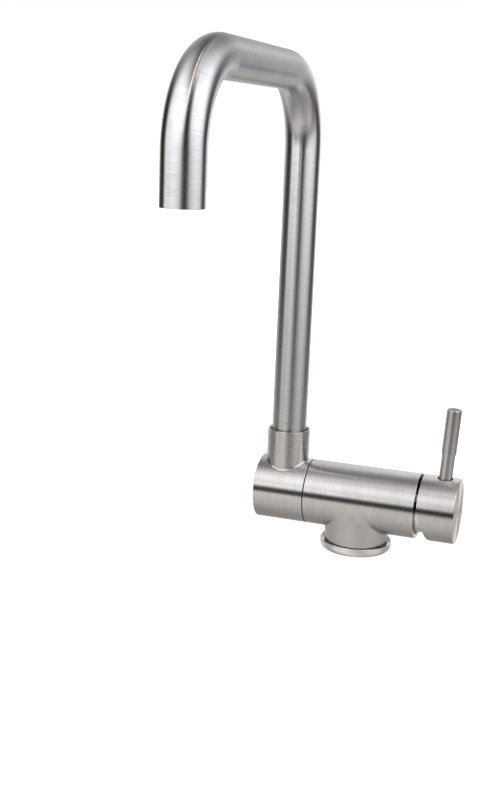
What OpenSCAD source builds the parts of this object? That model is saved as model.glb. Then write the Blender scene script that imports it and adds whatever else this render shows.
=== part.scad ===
// Folding single-lever tap for a caravan sink, in millimetres.
// Z = 0 is the worktop, and the Z axis is the axis of the neck and the base ring.
// The barrel's axis runs along X: knuckle and spout at -X, cap and lever at +X, outlet towards -Y.

/* [Barrel] */
// Diameter of the barrel, which the knuckle and the cap share
barrel_d = 41.4; // [40.8:0.1:44]
// Height of the barrel's axis above the worktop
axis_h = 32.9; // [32:0.1:40]
// Length of the body from the neck's axis to the knuckle's joint
body_left = 31.6; // [31:0.1:38]
// Overall length along the barrel, from the knuckle's end to the cap's end
tap_l = 129.2; // [128.8:0.1:135]
// Chamfer on the outer edges of barrel, knuckle and cap
edge = 0.5; // [0.3:0.1:0.8]

/* [Neck and base ring] */
// How far the barrel stands out over the neck at each side
neck_step = 0.4; // [0.2:0.1:0.8]
// Chamfer at the neck's lower edge
neck_edge = 0.6; // [0.3:0.1:1]
// Diameter of the base ring's rim
ring_d = 46; // [45:0.1:52]
// Height of the base ring's rim
ring_h = 5.4; // [4.6:0.1:8]
// Wall thickness of the rim
ring_wall = 0.9; // [0.7:0.1:1.4]
// Thickness of the ring's floor, which the neck stands on
ring_floor = 3; // [2.6:0.1:4]
// Radius of the round of the ring's outer wall
ring_round = 3.5; // [2.9:0.1:5]
// Diameter of the hole for the hoses and the stud
ring_hole_d = 29.6; // [28.4:0.1:31]
// Width of the gasket in the ring's underside
gasket_w = 2.4; // [1.5:0.1:3]
// Thickness of the gasket
gasket_t = 1.5; // [1:0.1:2]
// Distance from the ring's hole to the gasket's groove
gasket_inset = 1.6; // [1:0.1:2.5]

/* [Supply sockets] */
// Distance between the hot and the cold socket
inlet_spacing = 17; // [16:0.1:18]
// Tapping diameter of the sockets for the hoses, M10 x 1
inlet_tap_d = 9; // [8:0.1:9.4]
// Depth of the sockets for the hoses
inlet_depth = 12; // [8:0.1:14]
// Diameter of the passages above the sockets
passage_d = 6; // [4:0.1:6.4]
// Distance from the neck's axis to the stud's socket
stud_offset = 10.5; // [10:0.1:11]
// Tapping diameter of the stud's socket, M8
stud_tap_d = 6.8; // [5:0.1:7]
// Depth of the stud's socket
stud_depth = 13; // [8:0.1:15]

/* [Knuckle and fold pivot] */
// Length of the knuckle along the barrel
knuckle_l = 33; // [31:0.1:38]
// Thickness of the washer between knuckle and body
washer_t = 0.4; // [0.2:0.1:1]
// Distance that the washer's edge stays under the barrel's surface
washer_inset = 0.5; // [0.2:0.1:1]
// Bore that the spigot turns in
pivot_bore_d = 26; // [24:0.1:27]
// Depth of the pivot's bore from the joint
pivot_depth = 23.6; // [22.5:0.1:24]
// Gap between the spigot's end and the floor of its bore
spigot_end_gap = 2.5; // [1.8:0.1:3]
// Water bore of the spigot
spigot_bore_d = 14; // [10:0.1:15]
// Diameter of the spigot's threaded shank in the knuckle
shank_d = 24; // [20:0.1:25]
// Length of the spigot's shank
shank_l = 14; // [10:0.1:15]
// Diameter of the chamber behind the shank
knuckle_chamber_d = 18; // [16:0.1:21]
// Depth of the knuckle's chamber from the joint
knuckle_chamber_depth = 25; // [24:0.1:28]
// Outer diameter of the bearing sleeve
bush_d = 28.4; // [27.6:0.1:30]
// Length of the bearing sleeve
bush_l = 6; // [4:0.1:6.4]
// Distance from the joint to the fold stop's screw
stop_place = 9.2; // [9:0.1:10]
// Diameter of the fold stop's screw, M5
stop_screw_d = 5; // [4:0.1:5]
// Diameter of that screw's point
stop_point_d = 3; // [2:0.1:3.2]
// Depth of the stop's groove in the spigot
stop_groove = 1.9; // [1.2:0.1:2.2]
// Distance from the joint to the pivot's first seal
pivot_seal_place = 14; // [13.6:0.1:14.4]
// Distance between the pivot's seals
pivot_seal_pitch = 4.4; // [3.4:0.1:4.6]

/* [Collar and spout bearing] */
// Diameter of the collar
collar_d = 27.2; // [26.8:0.1:32]
// Height of the collar above the barrel's axis
collar_h = 40.4; // [39:0.1:46]
// Chamfer inside the collar's mouth
mouth_edge = 0.5; // [0.2:0.1:0.6]
// Bore that the spout's end piece turns in
riser_bore_d = 22.5; // [22.4:0.1:23]
// Height of that bore's floor above the barrel's axis
riser_floor = 13.2; // [13:0.1:14]
// Water passage below the bore's floor
riser_passage_d = 17; // [12:0.1:18]
// Diameter of the counterbore for the glide ring
mouth_d = 24.6; // [23.8:0.1:25.2]
// Depth of the counterbore
mouth_depth = 7.2; // [5:0.1:7.4]
// Height of the glide ring
glide_h = 5.5; // [4:0.1:5.8]
// Distance from the bore's floor to the spout's end piece
bush_lift = 0.4; // [0.2:0.1:0.8]
// Height of the part of the end piece below the tube
bush_h = 17.6; // [17.2:0.1:19]
// Length of the end piece inside the tube
bush_plug_l = 10; // [6:0.1:20]
// Water bore of the end piece
bush_bore_d = 15; // [12:0.1:16]
// Height of the set screw above the end piece's foot
set_screw_place = 13.6; // [13:0.1:14]
// Diameter of the set screw, M4
set_screw_d = 4; // [3:0.1:4]
// Diameter of the set screw's point
set_point_d = 2.4; // [1.6:0.1:2.6]
// Depth of the set screw's groove in the end piece
set_groove = 1.4; // [1:0.1:1.8]
// Height of the first seal above the end piece's foot
spout_seal_place = 3; // [2.4:0.1:3.4]
// Distance between the spout's seals
spout_seal_pitch = 4.6; // [3.4:0.1:5]

/* [Spout] */
// Outer diameter of the spout's tube
spout_d = 22; // [21.4:0.1:22.2]
// Wall thickness of the tube
spout_wall = 1.2; // [0.8:0.1:1.5]
// Overall height, from the worktop to the top of the arm
tap_h = 305.6; // [200:0.1:340]
// Reach from the riser's axis to the outlet's axis
reach = 192.2; // [120:0.1:240]
// Radius of the two bends, at the centreline
bend_r = 44.9; // [34:0.1:55]
// Distance from the arm's centreline down to the outlet's edge
outlet_drop = 70; // [64:0.1:90]

/* [Aerator] */
// Distance from the outlet's edge up to the aerator
aerator_inset = 0.6; // [0.2:0.1:2]
// Length of the aerator's sleeve
aerator_l = 11; // [9:0.1:14]
// Wall of the aerator's sleeve
aerator_wall = 1.1; // [0.6:0.1:1.5]
// Thickness of the sleeve's lip, which holds the jet former
aerator_lip_t = 1; // [0.6:0.1:1.4]
// Width of the sleeve's lip under the jet former
aerator_lip_w = 1; // [0.5:0.1:1.8]
// Length of the jet former
former_l = 8; // [5:0.1:8.5]
// Thickness of the jet former's floor
former_floor = 2; // [1.2:0.1:3]
// Wall of the jet former
former_wall = 1.2; // [0.8:0.1:1.8]
// Distance from the jet former's edge to its ring of holes
former_ring_inset = 3.6; // [3:0.1:4.4]
// Diameter of the jet former's holes
former_hole_d = 1.6; // [1:0.1:2]
// Number of holes in the jet former's ring
former_holes = 12; // [6:1:14]
// Thickness of the washer above the jet former
former_washer_t = 1.5; // [1:0.1:2]
// Width of that washer
former_washer_w = 2; // [1:0.1:3]

/* [Cartridge] */
// Diameter of the cartridge
cartridge_d = 35; // [33:0.1:35.4]
// Length of the cartridge below its shoulder
cartridge_l = 22; // [21.6:0.1:22.6]
// Distance from the body's open end to the cartridge's shoulder
shoulder_depth = 9.4; // [9:0.1:9.8]
// Distance from the body's open end to the lever's tilt axis
tilt_depth = 5.4; // [5:0.1:5.8]
// Thickness of the port plate
plate_t = 3; // [2.6:0.1:3.2]
// Height of the rim that holds the fixed disc
plate_step = 2; // [1.6:0.1:2.2]
// Diameter of the fixed disc
fixed_disc_d = 29; // [27:0.1:29.2]
// Thickness of the fixed disc
fixed_disc_t = 3; // [2.6:0.1:3.2]
// Diameter of the moving disc
moving_disc_d = 23; // [22:0.1:23.4]
// Thickness of the moving disc
moving_disc_t = 2.5; // [2.3:0.1:2.7]
// Radius of the mixing hollow in the moving disc
hollow_r = 9.5; // [8.4:0.1:10]
// Height above the axis that the hollow reaches to
hollow_top = 1; // [0.6:0.1:1.4]
// Depth of the hollow
hollow_depth = 1.4; // [1:0.1:1.8]
// Thickness of the disc carrier's plate
carrier_t = 3.3; // [3:0.1:3.5]
// Width of the disc carrier's boss
boss_w = 9.6; // [9:0.1:9.8]
// Length of the disc carrier's boss
boss_l = 11; // [10:0.1:11.2]
// Sideways distance of the hot and cold ports
port_y = 6; // [5.6:0.1:6.4]
// Height of the hot and cold ports above the axis
port_z = 4.5; // [4.2:0.1:4.8]
// Diameter of the hot and cold ports
port_d = 4.8; // [4:0.1:5]
// Depth of the outlet port below the axis
port_out_z = 4.5; // [4:0.1:5]
// Diameter of the outlet port
port_out_d = 5.8; // [5:0.1:6]
// Thickness of the port seals
port_seal_t = 1.2; // [1:0.1:1.6]
// Width of the port seals
port_seal_w = 1.3; // [1:0.1:1.5]
// Distance from a port to its seal
port_seal_inset = 0.5; // [0.4:0.1:0.6]
// Wall thickness of the cartridge's housing
housing_wall = 1.8; // [1.6:0.1:2]
// Thickness of the housing's shoulder
shoulder_t = 3.1; // [2.6:0.1:3.4]
// Outer diameter of the housing's collar
housing_collar_d = 28; // [27:0.1:28.4]
// Length of the housing's collar
housing_collar_l = 5.5; // [4:0.1:6]
// Bore of the housing that the rotor turns in
rotor_bore_d = 22.4; // [22:0.1:23]
// Diameter of the rotor's flange
rotor_flange_d = 30.6; // [29:0.1:30.8]
// Length of the rotor's window for the stem's blade
blade_window_l = 17; // [15:0.1:17.4]
// Distance that the rotor reaches past the tilt axis
rotor_past_tilt = 2.5; // [2.2:0.1:2.8]
// Distance from the shoulder to the rotor's seal
rotor_seal_back = 1; // [0.6:0.1:1.4]
// Section of the rotor's seal
rotor_seal_d = 1.2; // [1:0.1:1.4]
// Diameter of the tilt pin
pin_d = 3; // [2.5:0.1:3.2]
// Distance that the tilt pin's ends stay under the rotor's surface
pin_sunk = 0.8; // [0.4:0.1:1.2]
// Distance from the tilt axis to the stem's ball
ball_arm = 10; // [9.8:0.1:10.2]
// Diameter of the stem's ball
ball_d = 6; // [5.4:0.1:6.2]
// Diameter of the stem behind the ball
ball_neck_d = 4.2; // [3.4:0.1:4.6]
// Distance that the disc carrier's boss reaches past the ball's centre
boss_past_ball = 1; // [0.6:0.1:1.4]
// Gap between the boss and the stem's blade
blade_gap = 1.6; // [1.4:0.1:2]
// Width of the stem's blade
blade_w = 6.8; // [6:0.1:6.9]
// Width of the stem's square head
square_w = 7; // [6.4:0.1:7.2]
// Gap between the rotor and the square head
square_gap = 1.5; // [1.2:0.1:2]
// Gap between the square head and the floor of its hole in the cap
square_end_gap = 1; // [0.6:0.1:1.6]

/* [Clamp nut and dome ring] */
// Diameter of the mouth's thread
mouth_thread_d = 36; // [35.8:0.1:36.6]
// Distance from the body's open end to the nut's face
nut_depth = 2.4; // [2:0.1:3]
// Diameter of the nut's nose
nose_d = 29.2; // [28.6:0.1:29.6]
// Length of the nut's nose
nose_l = 3; // [2:0.1:4]
// Bore of the nut
nut_bore_d = 28.6; // [28.5:0.1:28.8]
// Outer diameter of the dome ring
dome_d = 32.5; // [31:0.1:33]
// Distance that the dome ring's straight part stands out of the body
dome_out = 5; // [4:0.1:5.2]
// Further distance to the dome ring's face
dome_nose = 1.8; // [1.2:0.1:2]
// Diameter of the dome ring's face
dome_face_d = 27; // [25:0.1:28]
// Thickness of the dome ring's front wall
dome_wall = 1.8; // [1.2:0.1:2.2]
// Diameter of the hole that the stem comes through
dome_hole_d = 20; // [19:0.1:21]

/* [Cap and lever] */
// Gap between the body and the cap
cap_gap = 1.5; // [1.4:0.1:3]
// Length of the cap
cap_l = 23.3; // [22.8:0.1:26]
// Wall thickness of the cap
cap_wall = 2; // [1.6:0.1:2.2]
// Thickness of the cap's end
cap_end = 2.5; // [2:0.1:3.5]
// Slant of the clearance cut in the cap's lower rim, in degrees
cut_angle = 17; // [16:0.5:22]
// Height above the axis where the cut starts
cut_start = 4; // [0:0.1:6]
// Diameter of the hub inside the cap
hub_d = 16; // [14:0.1:16.4]
// Length of the hub
hub_l = 11.2; // [10.5:0.1:11.6]
// Distance from the cap's end face to the lever's axis
lever_inset = 10.5; // [10:0.1:11]
// Outward lean of the lever, in degrees
lever_lean = 2.75; // [0:0.05:4]
// Distance from the barrel's axis to the lever's tip
lever_l = 64.9; // [50:0.1:80]
// Distance from the barrel's axis to the lever's step
lever_step = 36.4; // [28:0.1:46]
// Diameter of the lever's upper part
lever_top_d = 9.3; // [8.6:0.1:10]
// Diameter of the lever's lower part
lever_d = 8.3; // [6:0.1:8.5]
// Diameter of the lever's threaded end, M5
lever_thread_d = 4.9; // [4:0.1:5]
// Diameter of the lever's hole in the cap's wall
lever_hole_d = 9; // [8.8:0.1:9.2]
// Diameter of that hole's countersink
lever_sink_d = 10.2; // [9.6:0.1:10.8]
// Depth of the countersink
lever_sink_depth = 1; // [0.6:0.1:1.4]
// Chamfer at the lever's step
lever_step_edge = 0.2; // [0.1:0.05:0.3]
// Distance that the lever's thread stays away from the square head
lever_end_gap = 1; // [0.5:0.1:1.5]
// Distance from the cap's end face to the handle's screw
screw_inset = 7.5; // [6.5:0.1:8.5]
// Diameter of the handle's screw, M5
handle_screw_d = 5; // [4:0.1:5]
// Diameter of that screw's point
handle_point_d = 3.6; // [2.5:0.1:3.8]
// Length of that screw's point
handle_point_l = 1; // [0.5:0.1:1.5]

/* [Fits] */
// Radial clearance of turning fits
run_gap = 0.05; // [0.02:0.01:0.1]
// Gap between parts that pass each other
pass_gap = 0.3; // [0.2:0.05:0.4]
// Gap between sliding flat faces
slide_gap = 0.2; // [0.1:0.05:0.3]
// Gap on each side of a seal
seal_gap = 0.02; // [0.01:0.01:0.05]
// Section of the seals on the spigot and the spout's end piece
seal_d = 1.6; // [1.2:0.1:1.8]
// Room beside a seal in its groove
seal_room = 0.3; // [0.2:0.05:0.4]
// Distance that a set screw stays under the surface
screw_sunk = 0.4; // [0.2:0.1:0.8]
// Width of a set screw's hexagon socket over its corners, as a share of the screw's diameter
socket_share = 0.55; // [0.45:0.05:0.6]
// Depth of that socket, as a share of the screw's diameter
socket_depth_share = 0.4; // [0.3:0.05:0.5]

/* [Hidden] */
$fn = 96;
// How far a cutter runs past the face that it opens
past = 1;

// The neck's diameter, and the length of the body from the neck's axis to its open end
neck_d = barrel_d - 2 * neck_step;
body_right = tap_l - body_left - washer_t - knuckle_l - cap_gap - cap_l;
// Stations along the barrel, from the joint leftwards
joint_x = -body_left;
knuckle_right = joint_x - washer_t;
knuckle_left = knuckle_right - knuckle_l;
riser_x = (knuckle_left + knuckle_right) / 2;
// Stations along the barrel, from the joint to the pivot's floor
pivot_floor_x = joint_x + pivot_depth;
spigot_end_x = pivot_floor_x - spigot_end_gap;
stop_x = joint_x + stop_place;
pivot_seals_x = [for (i = [0, 1]) joint_x + pivot_seal_place + i * pivot_seal_pitch];
// Stations along the barrel, from the open end back to the cartridge's seat
shoulder_x = body_right - shoulder_depth;
seat_x = shoulder_x - cartridge_l;
plate_x = seat_x + plate_t;
disc_seat_x = plate_x + plate_step;
disc_joint_x = disc_seat_x + fixed_disc_t;
carrier_x = disc_joint_x + moving_disc_t;
carrier_top_x = carrier_x + carrier_t;
rotor_x = carrier_top_x + slide_gap;
flange_top_x = shoulder_x - shoulder_t - slide_gap;
tilt_x = body_right - tilt_depth;
rotor_top_x = tilt_x + rotor_past_tilt;
rotor_seal_x = shoulder_x - rotor_seal_back;
ball_x = tilt_x - ball_arm;
boss_top_x = ball_x + boss_past_ball;
blade_x = boss_top_x + blade_gap;
nut_x = body_right - nut_depth;
dome_edge_x = body_right + dome_out;
dome_face_x = dome_edge_x + dome_nose;
cap_x = body_right + cap_gap;
cap_end_x = cap_x + cap_l;
hub_end_x = cap_end_x - cap_end;
hub_x = hub_end_x - hub_l;
square_x = rotor_top_x + square_gap;
square_end_x = hub_end_x - square_end_gap;
lever_x = cap_end_x - lever_inset;
handle_screw_x = cap_end_x - screw_inset;
// Middle of the wall between pivot and cartridge, where the supply passages rise
inlet_x = (pivot_floor_x + seat_x) / 2;
ports = [[port_y, port_z, port_d], [-port_y, port_z, port_d], [0, -port_out_z, port_out_d]];
// Two locating pins of the port plate
locating_d = 3;
locating_l = 1.5;
locating_places = [[11, -3], [-11, -3]];
// Diameters that follow from a bore and its clearance
spigot_d = pivot_bore_d - 2 * run_gap;
spout_bush_d = riser_bore_d - 2 * run_gap;
housing_bore_d = cartridge_d - 2 * housing_wall;
plate_rim_d = housing_bore_d - 2 * run_gap;
rotor_d = rotor_bore_d - 2 * run_gap;
spout_bore_d = spout_d - 2 * spout_wall;
former_d = spout_bore_d - 2 * run_gap - 2 * aerator_wall - 2 * run_gap;
chamber_d = cartridge_d + 2 * run_gap;
// Length of the disc's travel when the lever is tipped all the way
tilt_angle = 20;
disc_travel = ball_arm * tilt_angle * PI / 180;
// Windows in the rotor for the boss and the blade
boss_window_w = boss_w + 2 * slide_gap;
boss_window_l = boss_l + 2 * disc_travel + 2 * pass_gap;
blade_window_w = blade_w + 2 * slide_gap;
// Levels of the collar and the spout
riser_floor_z = axis_h + riser_floor;
bush_foot_z = riser_floor_z + bush_lift;
tube_foot_z = bush_foot_z + bush_h;
collar_top_z = axis_h + collar_h;
mouth_floor_z = collar_top_z - mouth_depth;
set_screw_z = bush_foot_z + set_screw_place;
spout_seals_z = [for (i = [0, 1]) bush_foot_z + spout_seal_place + i * spout_seal_pitch];
arm_z = tap_h - spout_d / 2;
outlet_z = arm_z - outlet_drop;

// Places its children on the barrel's axis at x, their Z turned to point along X
module on_barrel(x) {
    translate([x, 0, axis_h])
        rotate([0, 90, 0])
            children();
}

// A round bar about the barrel's axis, from one station to another
module bar(x0, x1, d) {
    on_barrel(x0)
        cylinder(h = x1 - x0, d = d);
}

// A solid turned about the barrel's axis, its profile given as [station, radius]
module turned(profile) {
    on_barrel(0)
        rotate_extrude()
            polygon([for (p = profile) [p[1], p[0]]]);
}

// A bar about the barrel's axis with a chamfer at each end
module edged_bar(x0, x1, d, c0, c1) {
    turned([[x0, 0], [x0, d / 2 - c0], [x0 + c0, d / 2], [x1 - c1, d / 2], [x1, d / 2 - c1], [x1, 0]]);
}

// A seal about the Z axis that fills the room between a bore and its groove
module seal(bore_d, section) {
    rotate_extrude()
        translate([bore_d / 2 - seal_gap - section / 2, 0])
            circle(d = section, $fn = 32);
}

// The groove that such a seal lies in, cut from the outside
module seal_groove(bore_d, section) {
    w = section + 2 * seal_room;
    floor_d = bore_d - 2 * section - 4 * seal_gap;
    translate([0, 0, -w / 2])
        difference() {
            cylinder(h = w, d = bore_d + past);
            translate([0, 0, -past])
                cylinder(h = w + 2 * past, d = floor_d);
        }
}

// A set screw along Y with a hexagon socket, its point towards the axis
module set_screw(y_tip, y_shoulder, y_face, d, point_d) {
    rotate([-90, 0, 0])
        difference() {
            union() {
                translate([0, 0, y_tip])
                    cylinder(h = y_face - y_tip, d = point_d);
                translate([0, 0, y_shoulder])
                    cylinder(h = y_face - y_shoulder, d = d);
            }
            translate([0, 0, y_face - d * socket_depth_share])
                cylinder(h = d, d = d * socket_share, $fn = 6);
        }
}

// The hot, cold and mixed ports as bars along X between two stations
module port_bars(x0, x1) {
    for (p = ports)
        translate([x0, p[0], axis_h + p[1]])
            rotate([0, 90, 0])
                cylinder(h = x1 - x0, d = p[2]);
}

// T-shaped casting: barrel and neck, bored for pivot, cartridge, supply and stud
module body() {
    neck_h = axis_h - ring_floor;
    color("silver")
        difference() {
            union() {
                edged_bar(joint_x, body_right, barrel_d, edge, edge);
                translate([0, 0, ring_floor])
                    rotate_extrude()
                        polygon([
                            [0, 0], [neck_d / 2 - neck_edge, 0], [neck_d / 2, neck_edge],
                            [neck_d / 2, neck_h], [0, neck_h]
                        ]);
            }
            bar(joint_x - past, pivot_floor_x, pivot_bore_d);
            bar(joint_x - past, joint_x + bush_l, bush_d);
            bar(seat_x, body_right + past, chamber_d);
            bar(shoulder_x, body_right + past, mouth_thread_d);
            turned([
                [body_right - edge, 0], [body_right - edge, mouth_thread_d / 2],
                [body_right + past, mouth_thread_d / 2 + edge + past], [body_right + past, 0]
            ]);
            supply();
            for (p = locating_places)
                translate([seat_x - locating_l - slide_gap, p[0], axis_h + p[1]])
                    rotate([0, 90, 0])
                        cylinder(h = locating_l + slide_gap + past, d = locating_d + 2 * run_gap);
            translate([stop_x, 0, axis_h])
                rotate([-90, 0, 0])
                    cylinder(h = barrel_d, d = stop_screw_d + 2 * run_gap);
        }
}

// Everything bored into the body for water and for the stud
module supply() {
    for (side = [-1, 1]) {
        translate([inlet_x, side * inlet_spacing / 2, ring_floor - past])
            cylinder(h = inlet_depth + past, d = inlet_tap_d);
        translate([inlet_x, side * inlet_spacing / 2, ring_floor])
            cylinder(h = axis_h + port_z + port_d / 2 - ring_floor, d = passage_d);
        translate([inlet_x, side * port_y, axis_h + port_z])
            rotate([0, 90, 0])
                cylinder(h = seat_x - inlet_x + past, d = port_d);
    }
    translate([pivot_floor_x - past, 0, axis_h - port_out_z])
        rotate([0, 90, 0])
            cylinder(h = seat_x - pivot_floor_x + 2 * past, d = port_out_d);
    translate([-stud_offset, 0, ring_floor - past])
        cylinder(h = stud_depth + past, d = stud_tap_d);
}

// Dished ring under the neck, its outer wall rounded towards the worktop
module base_ring() {
    color("gainsboro")
        difference() {
            rotate_extrude()
                difference() {
                    union() {
                        intersection() {
                            translate([ring_d / 2 - ring_round, ring_floor])
                                circle(r = ring_round);
                            square([ring_d, ring_floor]);
                        }
                        square([ring_d / 2 - ring_round, ring_floor]);
                        translate([0, ring_floor])
                            square([ring_d / 2, ring_h - ring_floor]);
                    }
                    translate([-past, ring_floor])
                        square([ring_d / 2 - ring_wall + past, ring_h]);
                    translate([-past, -past])
                        square([ring_hole_d / 2 + past, ring_h + 2 * past]);
                }
            gasket_groove();
        }
}

// Groove for the gasket in the ring's underside
module gasket_groove() {
    inner_r = ring_hole_d / 2 + gasket_inset;
    translate([0, 0, -past])
        difference() {
            cylinder(h = gasket_t + past, r = inner_r + gasket_w);
            translate([0, 0, -past])
                cylinder(h = gasket_t + 3 * past, r = inner_r);
        }
}

// Rubber gasket that seals the ring on the worktop
module base_gasket() {
    inner_r = ring_hole_d / 2 + gasket_inset + run_gap;
    color("dimgray")
        difference() {
            cylinder(h = gasket_t, r = inner_r + gasket_w - 2 * run_gap);
            translate([0, 0, -past])
                cylinder(h = gasket_t + 2 * past, r = inner_r);
        }
}

// Bearing sleeve in the mouth of the pivot's bore
module pivot_bush() {
    color("white")
        difference() {
            bar(joint_x, joint_x + bush_l, bush_d);
            bar(joint_x - past, joint_x + bush_l + past, pivot_bore_d);
        }
}

// Screw at the back of the body, its point in the spigot's half groove
module fold_stop_screw() {
    groove_r = spigot_d / 2 - stop_groove;
    color("slategray")
        translate([stop_x, 0, axis_h])
            set_screw(groove_r + pass_gap, spigot_d / 2 + pass_gap, barrel_d / 2 - screw_sunk,
                stop_screw_d, stop_point_d);
}

// Thin washer between the knuckle and the body
module pivot_washer() {
    color("dimgray")
        difference() {
            bar(knuckle_right, joint_x, barrel_d - 2 * washer_inset);
            bar(knuckle_right - past, joint_x + past, bush_d);
        }
}

// Short barrel with the upright collar that the spout stands in
module knuckle() {
    color("silver")
        difference() {
            union() {
                edged_bar(knuckle_left, knuckle_right, barrel_d, edge, edge);
                translate([riser_x, 0, axis_h])
                    cylinder(h = collar_h, d = collar_d);
            }
            bar(knuckle_right - shank_l, knuckle_right + past, shank_d + 2 * run_gap);
            bar(knuckle_right - knuckle_chamber_depth, knuckle_right, knuckle_chamber_d);
            translate([riser_x, 0, axis_h])
                cylinder(h = collar_h, d = riser_passage_d);
            translate([riser_x, 0, riser_floor_z])
                cylinder(h = collar_h, d = riser_bore_d);
            translate([riser_x, 0, mouth_floor_z])
                cylinder(h = collar_h, d = mouth_d);
            translate([riser_x, 0, collar_top_z - mouth_edge])
                cylinder(h = 2 * mouth_edge, d1 = mouth_d, d2 = mouth_d + 4 * mouth_edge);
            translate([riser_x, 0, set_screw_z])
                rotate([-90, 0, 0])
                    cylinder(h = collar_d, d = set_screw_d + 2 * run_gap);
        }
}

// Hollow shaft: its shank is screwed into the knuckle, the rest turns in the body
module pivot_spigot() {
    color("goldenrod")
        difference() {
            union() {
                bar(knuckle_right - shank_l, knuckle_right + past, shank_d);
                bar(knuckle_right, spigot_end_x, spigot_d);
            }
            bar(knuckle_right - shank_l - past, spigot_end_x + past, spigot_bore_d);
            for (x = pivot_seals_x)
                on_barrel(x)
                    seal_groove(pivot_bore_d, seal_d);
            stop_half_groove();
        }
}

// Half groove that lets the knuckle fold a quarter turn each way from upright
module stop_half_groove() {
    w = stop_point_d + 2 * pass_gap;
    difference() {
        bar(stop_x - w / 2, stop_x + w / 2, spigot_d + past);
        bar(stop_x - w, stop_x + w, spigot_d - 2 * stop_groove);
        translate([stop_x - w, -barrel_d, axis_h - barrel_d / 2])
            cube([2 * w, barrel_d - stop_point_d / 2 - pass_gap, barrel_d]);
    }
}

// Two seals on the spigot
module pivot_o_rings() {
    color("dimgray")
        for (x = pivot_seals_x)
            on_barrel(x)
                seal(pivot_bore_d, seal_d);
}

// Bearing ring in the collar's mouth
module glide_ring() {
    color("dimgray")
        translate([riser_x, 0, mouth_floor_z])
            difference() {
                cylinder(h = glide_h, d = mouth_d);
                translate([0, 0, -past])
                    cylinder(h = glide_h + 2 * past, d = spout_d + 2 * run_gap);
            }
}

// Screw at the back of the collar, its point in the groove of the spout's end piece
module spout_set_screw() {
    groove_r = spout_bush_d / 2 - set_groove;
    color("slategray")
        translate([riser_x, 0, set_screw_z])
            set_screw(groove_r + pass_gap, riser_bore_d / 2 + run_gap, collar_d / 2 - screw_sunk,
                set_screw_d, set_point_d);
}

// Cross-section of the spout's tube
module tube_section() {
    difference() {
        circle(d = spout_d);
        circle(d = spout_bore_d);
    }
}

// Quarter bend of the tube in the plane of the spout, from start degrees above the +Y direction
module tube_bend(start) {
    rotate([90, 0, 90])
        rotate(start)
            rotate_extrude(angle = 90)
                translate([bend_r, 0])
                    tube_section();
}

// Steel tube: riser, bend, arm, bend and the leg with the outlet
module spout_tube() {
    bend_z = arm_z - bend_r;
    color("silver")
        translate([riser_x, 0, 0]) {
            translate([0, 0, tube_foot_z])
                linear_extrude(bend_z - tube_foot_z)
                    tube_section();
            translate([0, -bend_r, bend_z])
                tube_bend(0);
            translate([0, -bend_r, arm_z])
                rotate([90, 0, 0])
                    linear_extrude(reach - 2 * bend_r)
                        tube_section();
            translate([0, bend_r - reach, bend_z])
                tube_bend(90);
            translate([0, -reach, outlet_z])
                linear_extrude(bend_z - outlet_z)
                    tube_section();
        }
}

// Turned end piece, brazed into the tube's foot
module spout_bush() {
    w = set_point_d + 2 * pass_gap;
    color("goldenrod")
        translate([riser_x, 0, 0])
            difference() {
                union() {
                    translate([0, 0, bush_foot_z])
                        cylinder(h = bush_h, d = spout_bush_d);
                    translate([0, 0, tube_foot_z - past])
                        cylinder(h = bush_plug_l + past, d = spout_bore_d - 2 * run_gap);
                }
                translate([0, 0, bush_foot_z - past])
                    cylinder(h = bush_h + bush_plug_l + 2 * past, d = bush_bore_d);
                for (z = spout_seals_z)
                    translate([0, 0, z])
                        seal_groove(riser_bore_d, seal_d);
                translate([0, 0, set_screw_z - w / 2])
                    difference() {
                        cylinder(h = w, d = riser_bore_d + past);
                        translate([0, 0, -past])
                            cylinder(h = w + 2 * past, d = spout_bush_d - 2 * set_groove);
                    }
            }
}

// Two seals on the spout's end piece
module spout_o_rings() {
    color("dimgray")
        for (z = spout_seals_z)
            translate([riser_x, 0, z])
                seal(riser_bore_d, seal_d);
}

// Places its children at the outlet, on the leg's axis
module at_outlet(z) {
    translate([riser_x, -reach, outlet_z + aerator_inset + z])
        children();
}

// Threaded ring in the outlet, with a lip that holds the jet former
module aerator_sleeve() {
    d = spout_bore_d - 2 * run_gap;
    color("silver")
        at_outlet(0)
            difference() {
                cylinder(h = aerator_l, d = d);
                translate([0, 0, -past])
                    cylinder(h = aerator_l, d = former_d - 2 * aerator_lip_w);
                translate([0, 0, aerator_lip_t])
                    cylinder(h = aerator_l, d = d - 2 * aerator_wall);
            }
}

// Jet former: a ring of holes round a middle hole
module aerator_insert() {
    color("whitesmoke")
        at_outlet(aerator_lip_t)
            difference() {
                cylinder(h = former_l, d = former_d);
                translate([0, 0, former_floor])
                    cylinder(h = former_l, d = former_d - 2 * former_wall);
                for (i = [0 : former_holes - 1])
                    rotate(i * 360 / former_holes)
                        translate([former_d / 2 - former_ring_inset, 0, -past])
                            cylinder(h = former_floor + 2 * past, d = former_hole_d);
                translate([0, 0, -past])
                    cylinder(h = former_floor + 2 * past, d = former_hole_d);
            }
}

// Rubber washer above the jet former
module aerator_washer() {
    color("dimgray")
        at_outlet(aerator_lip_t + former_l)
            difference() {
                cylinder(h = former_washer_t, d = former_d);
                translate([0, 0, -past])
                    cylinder(h = former_washer_t + 2 * past, d = former_d - 2 * former_washer_w);
            }
}

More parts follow.
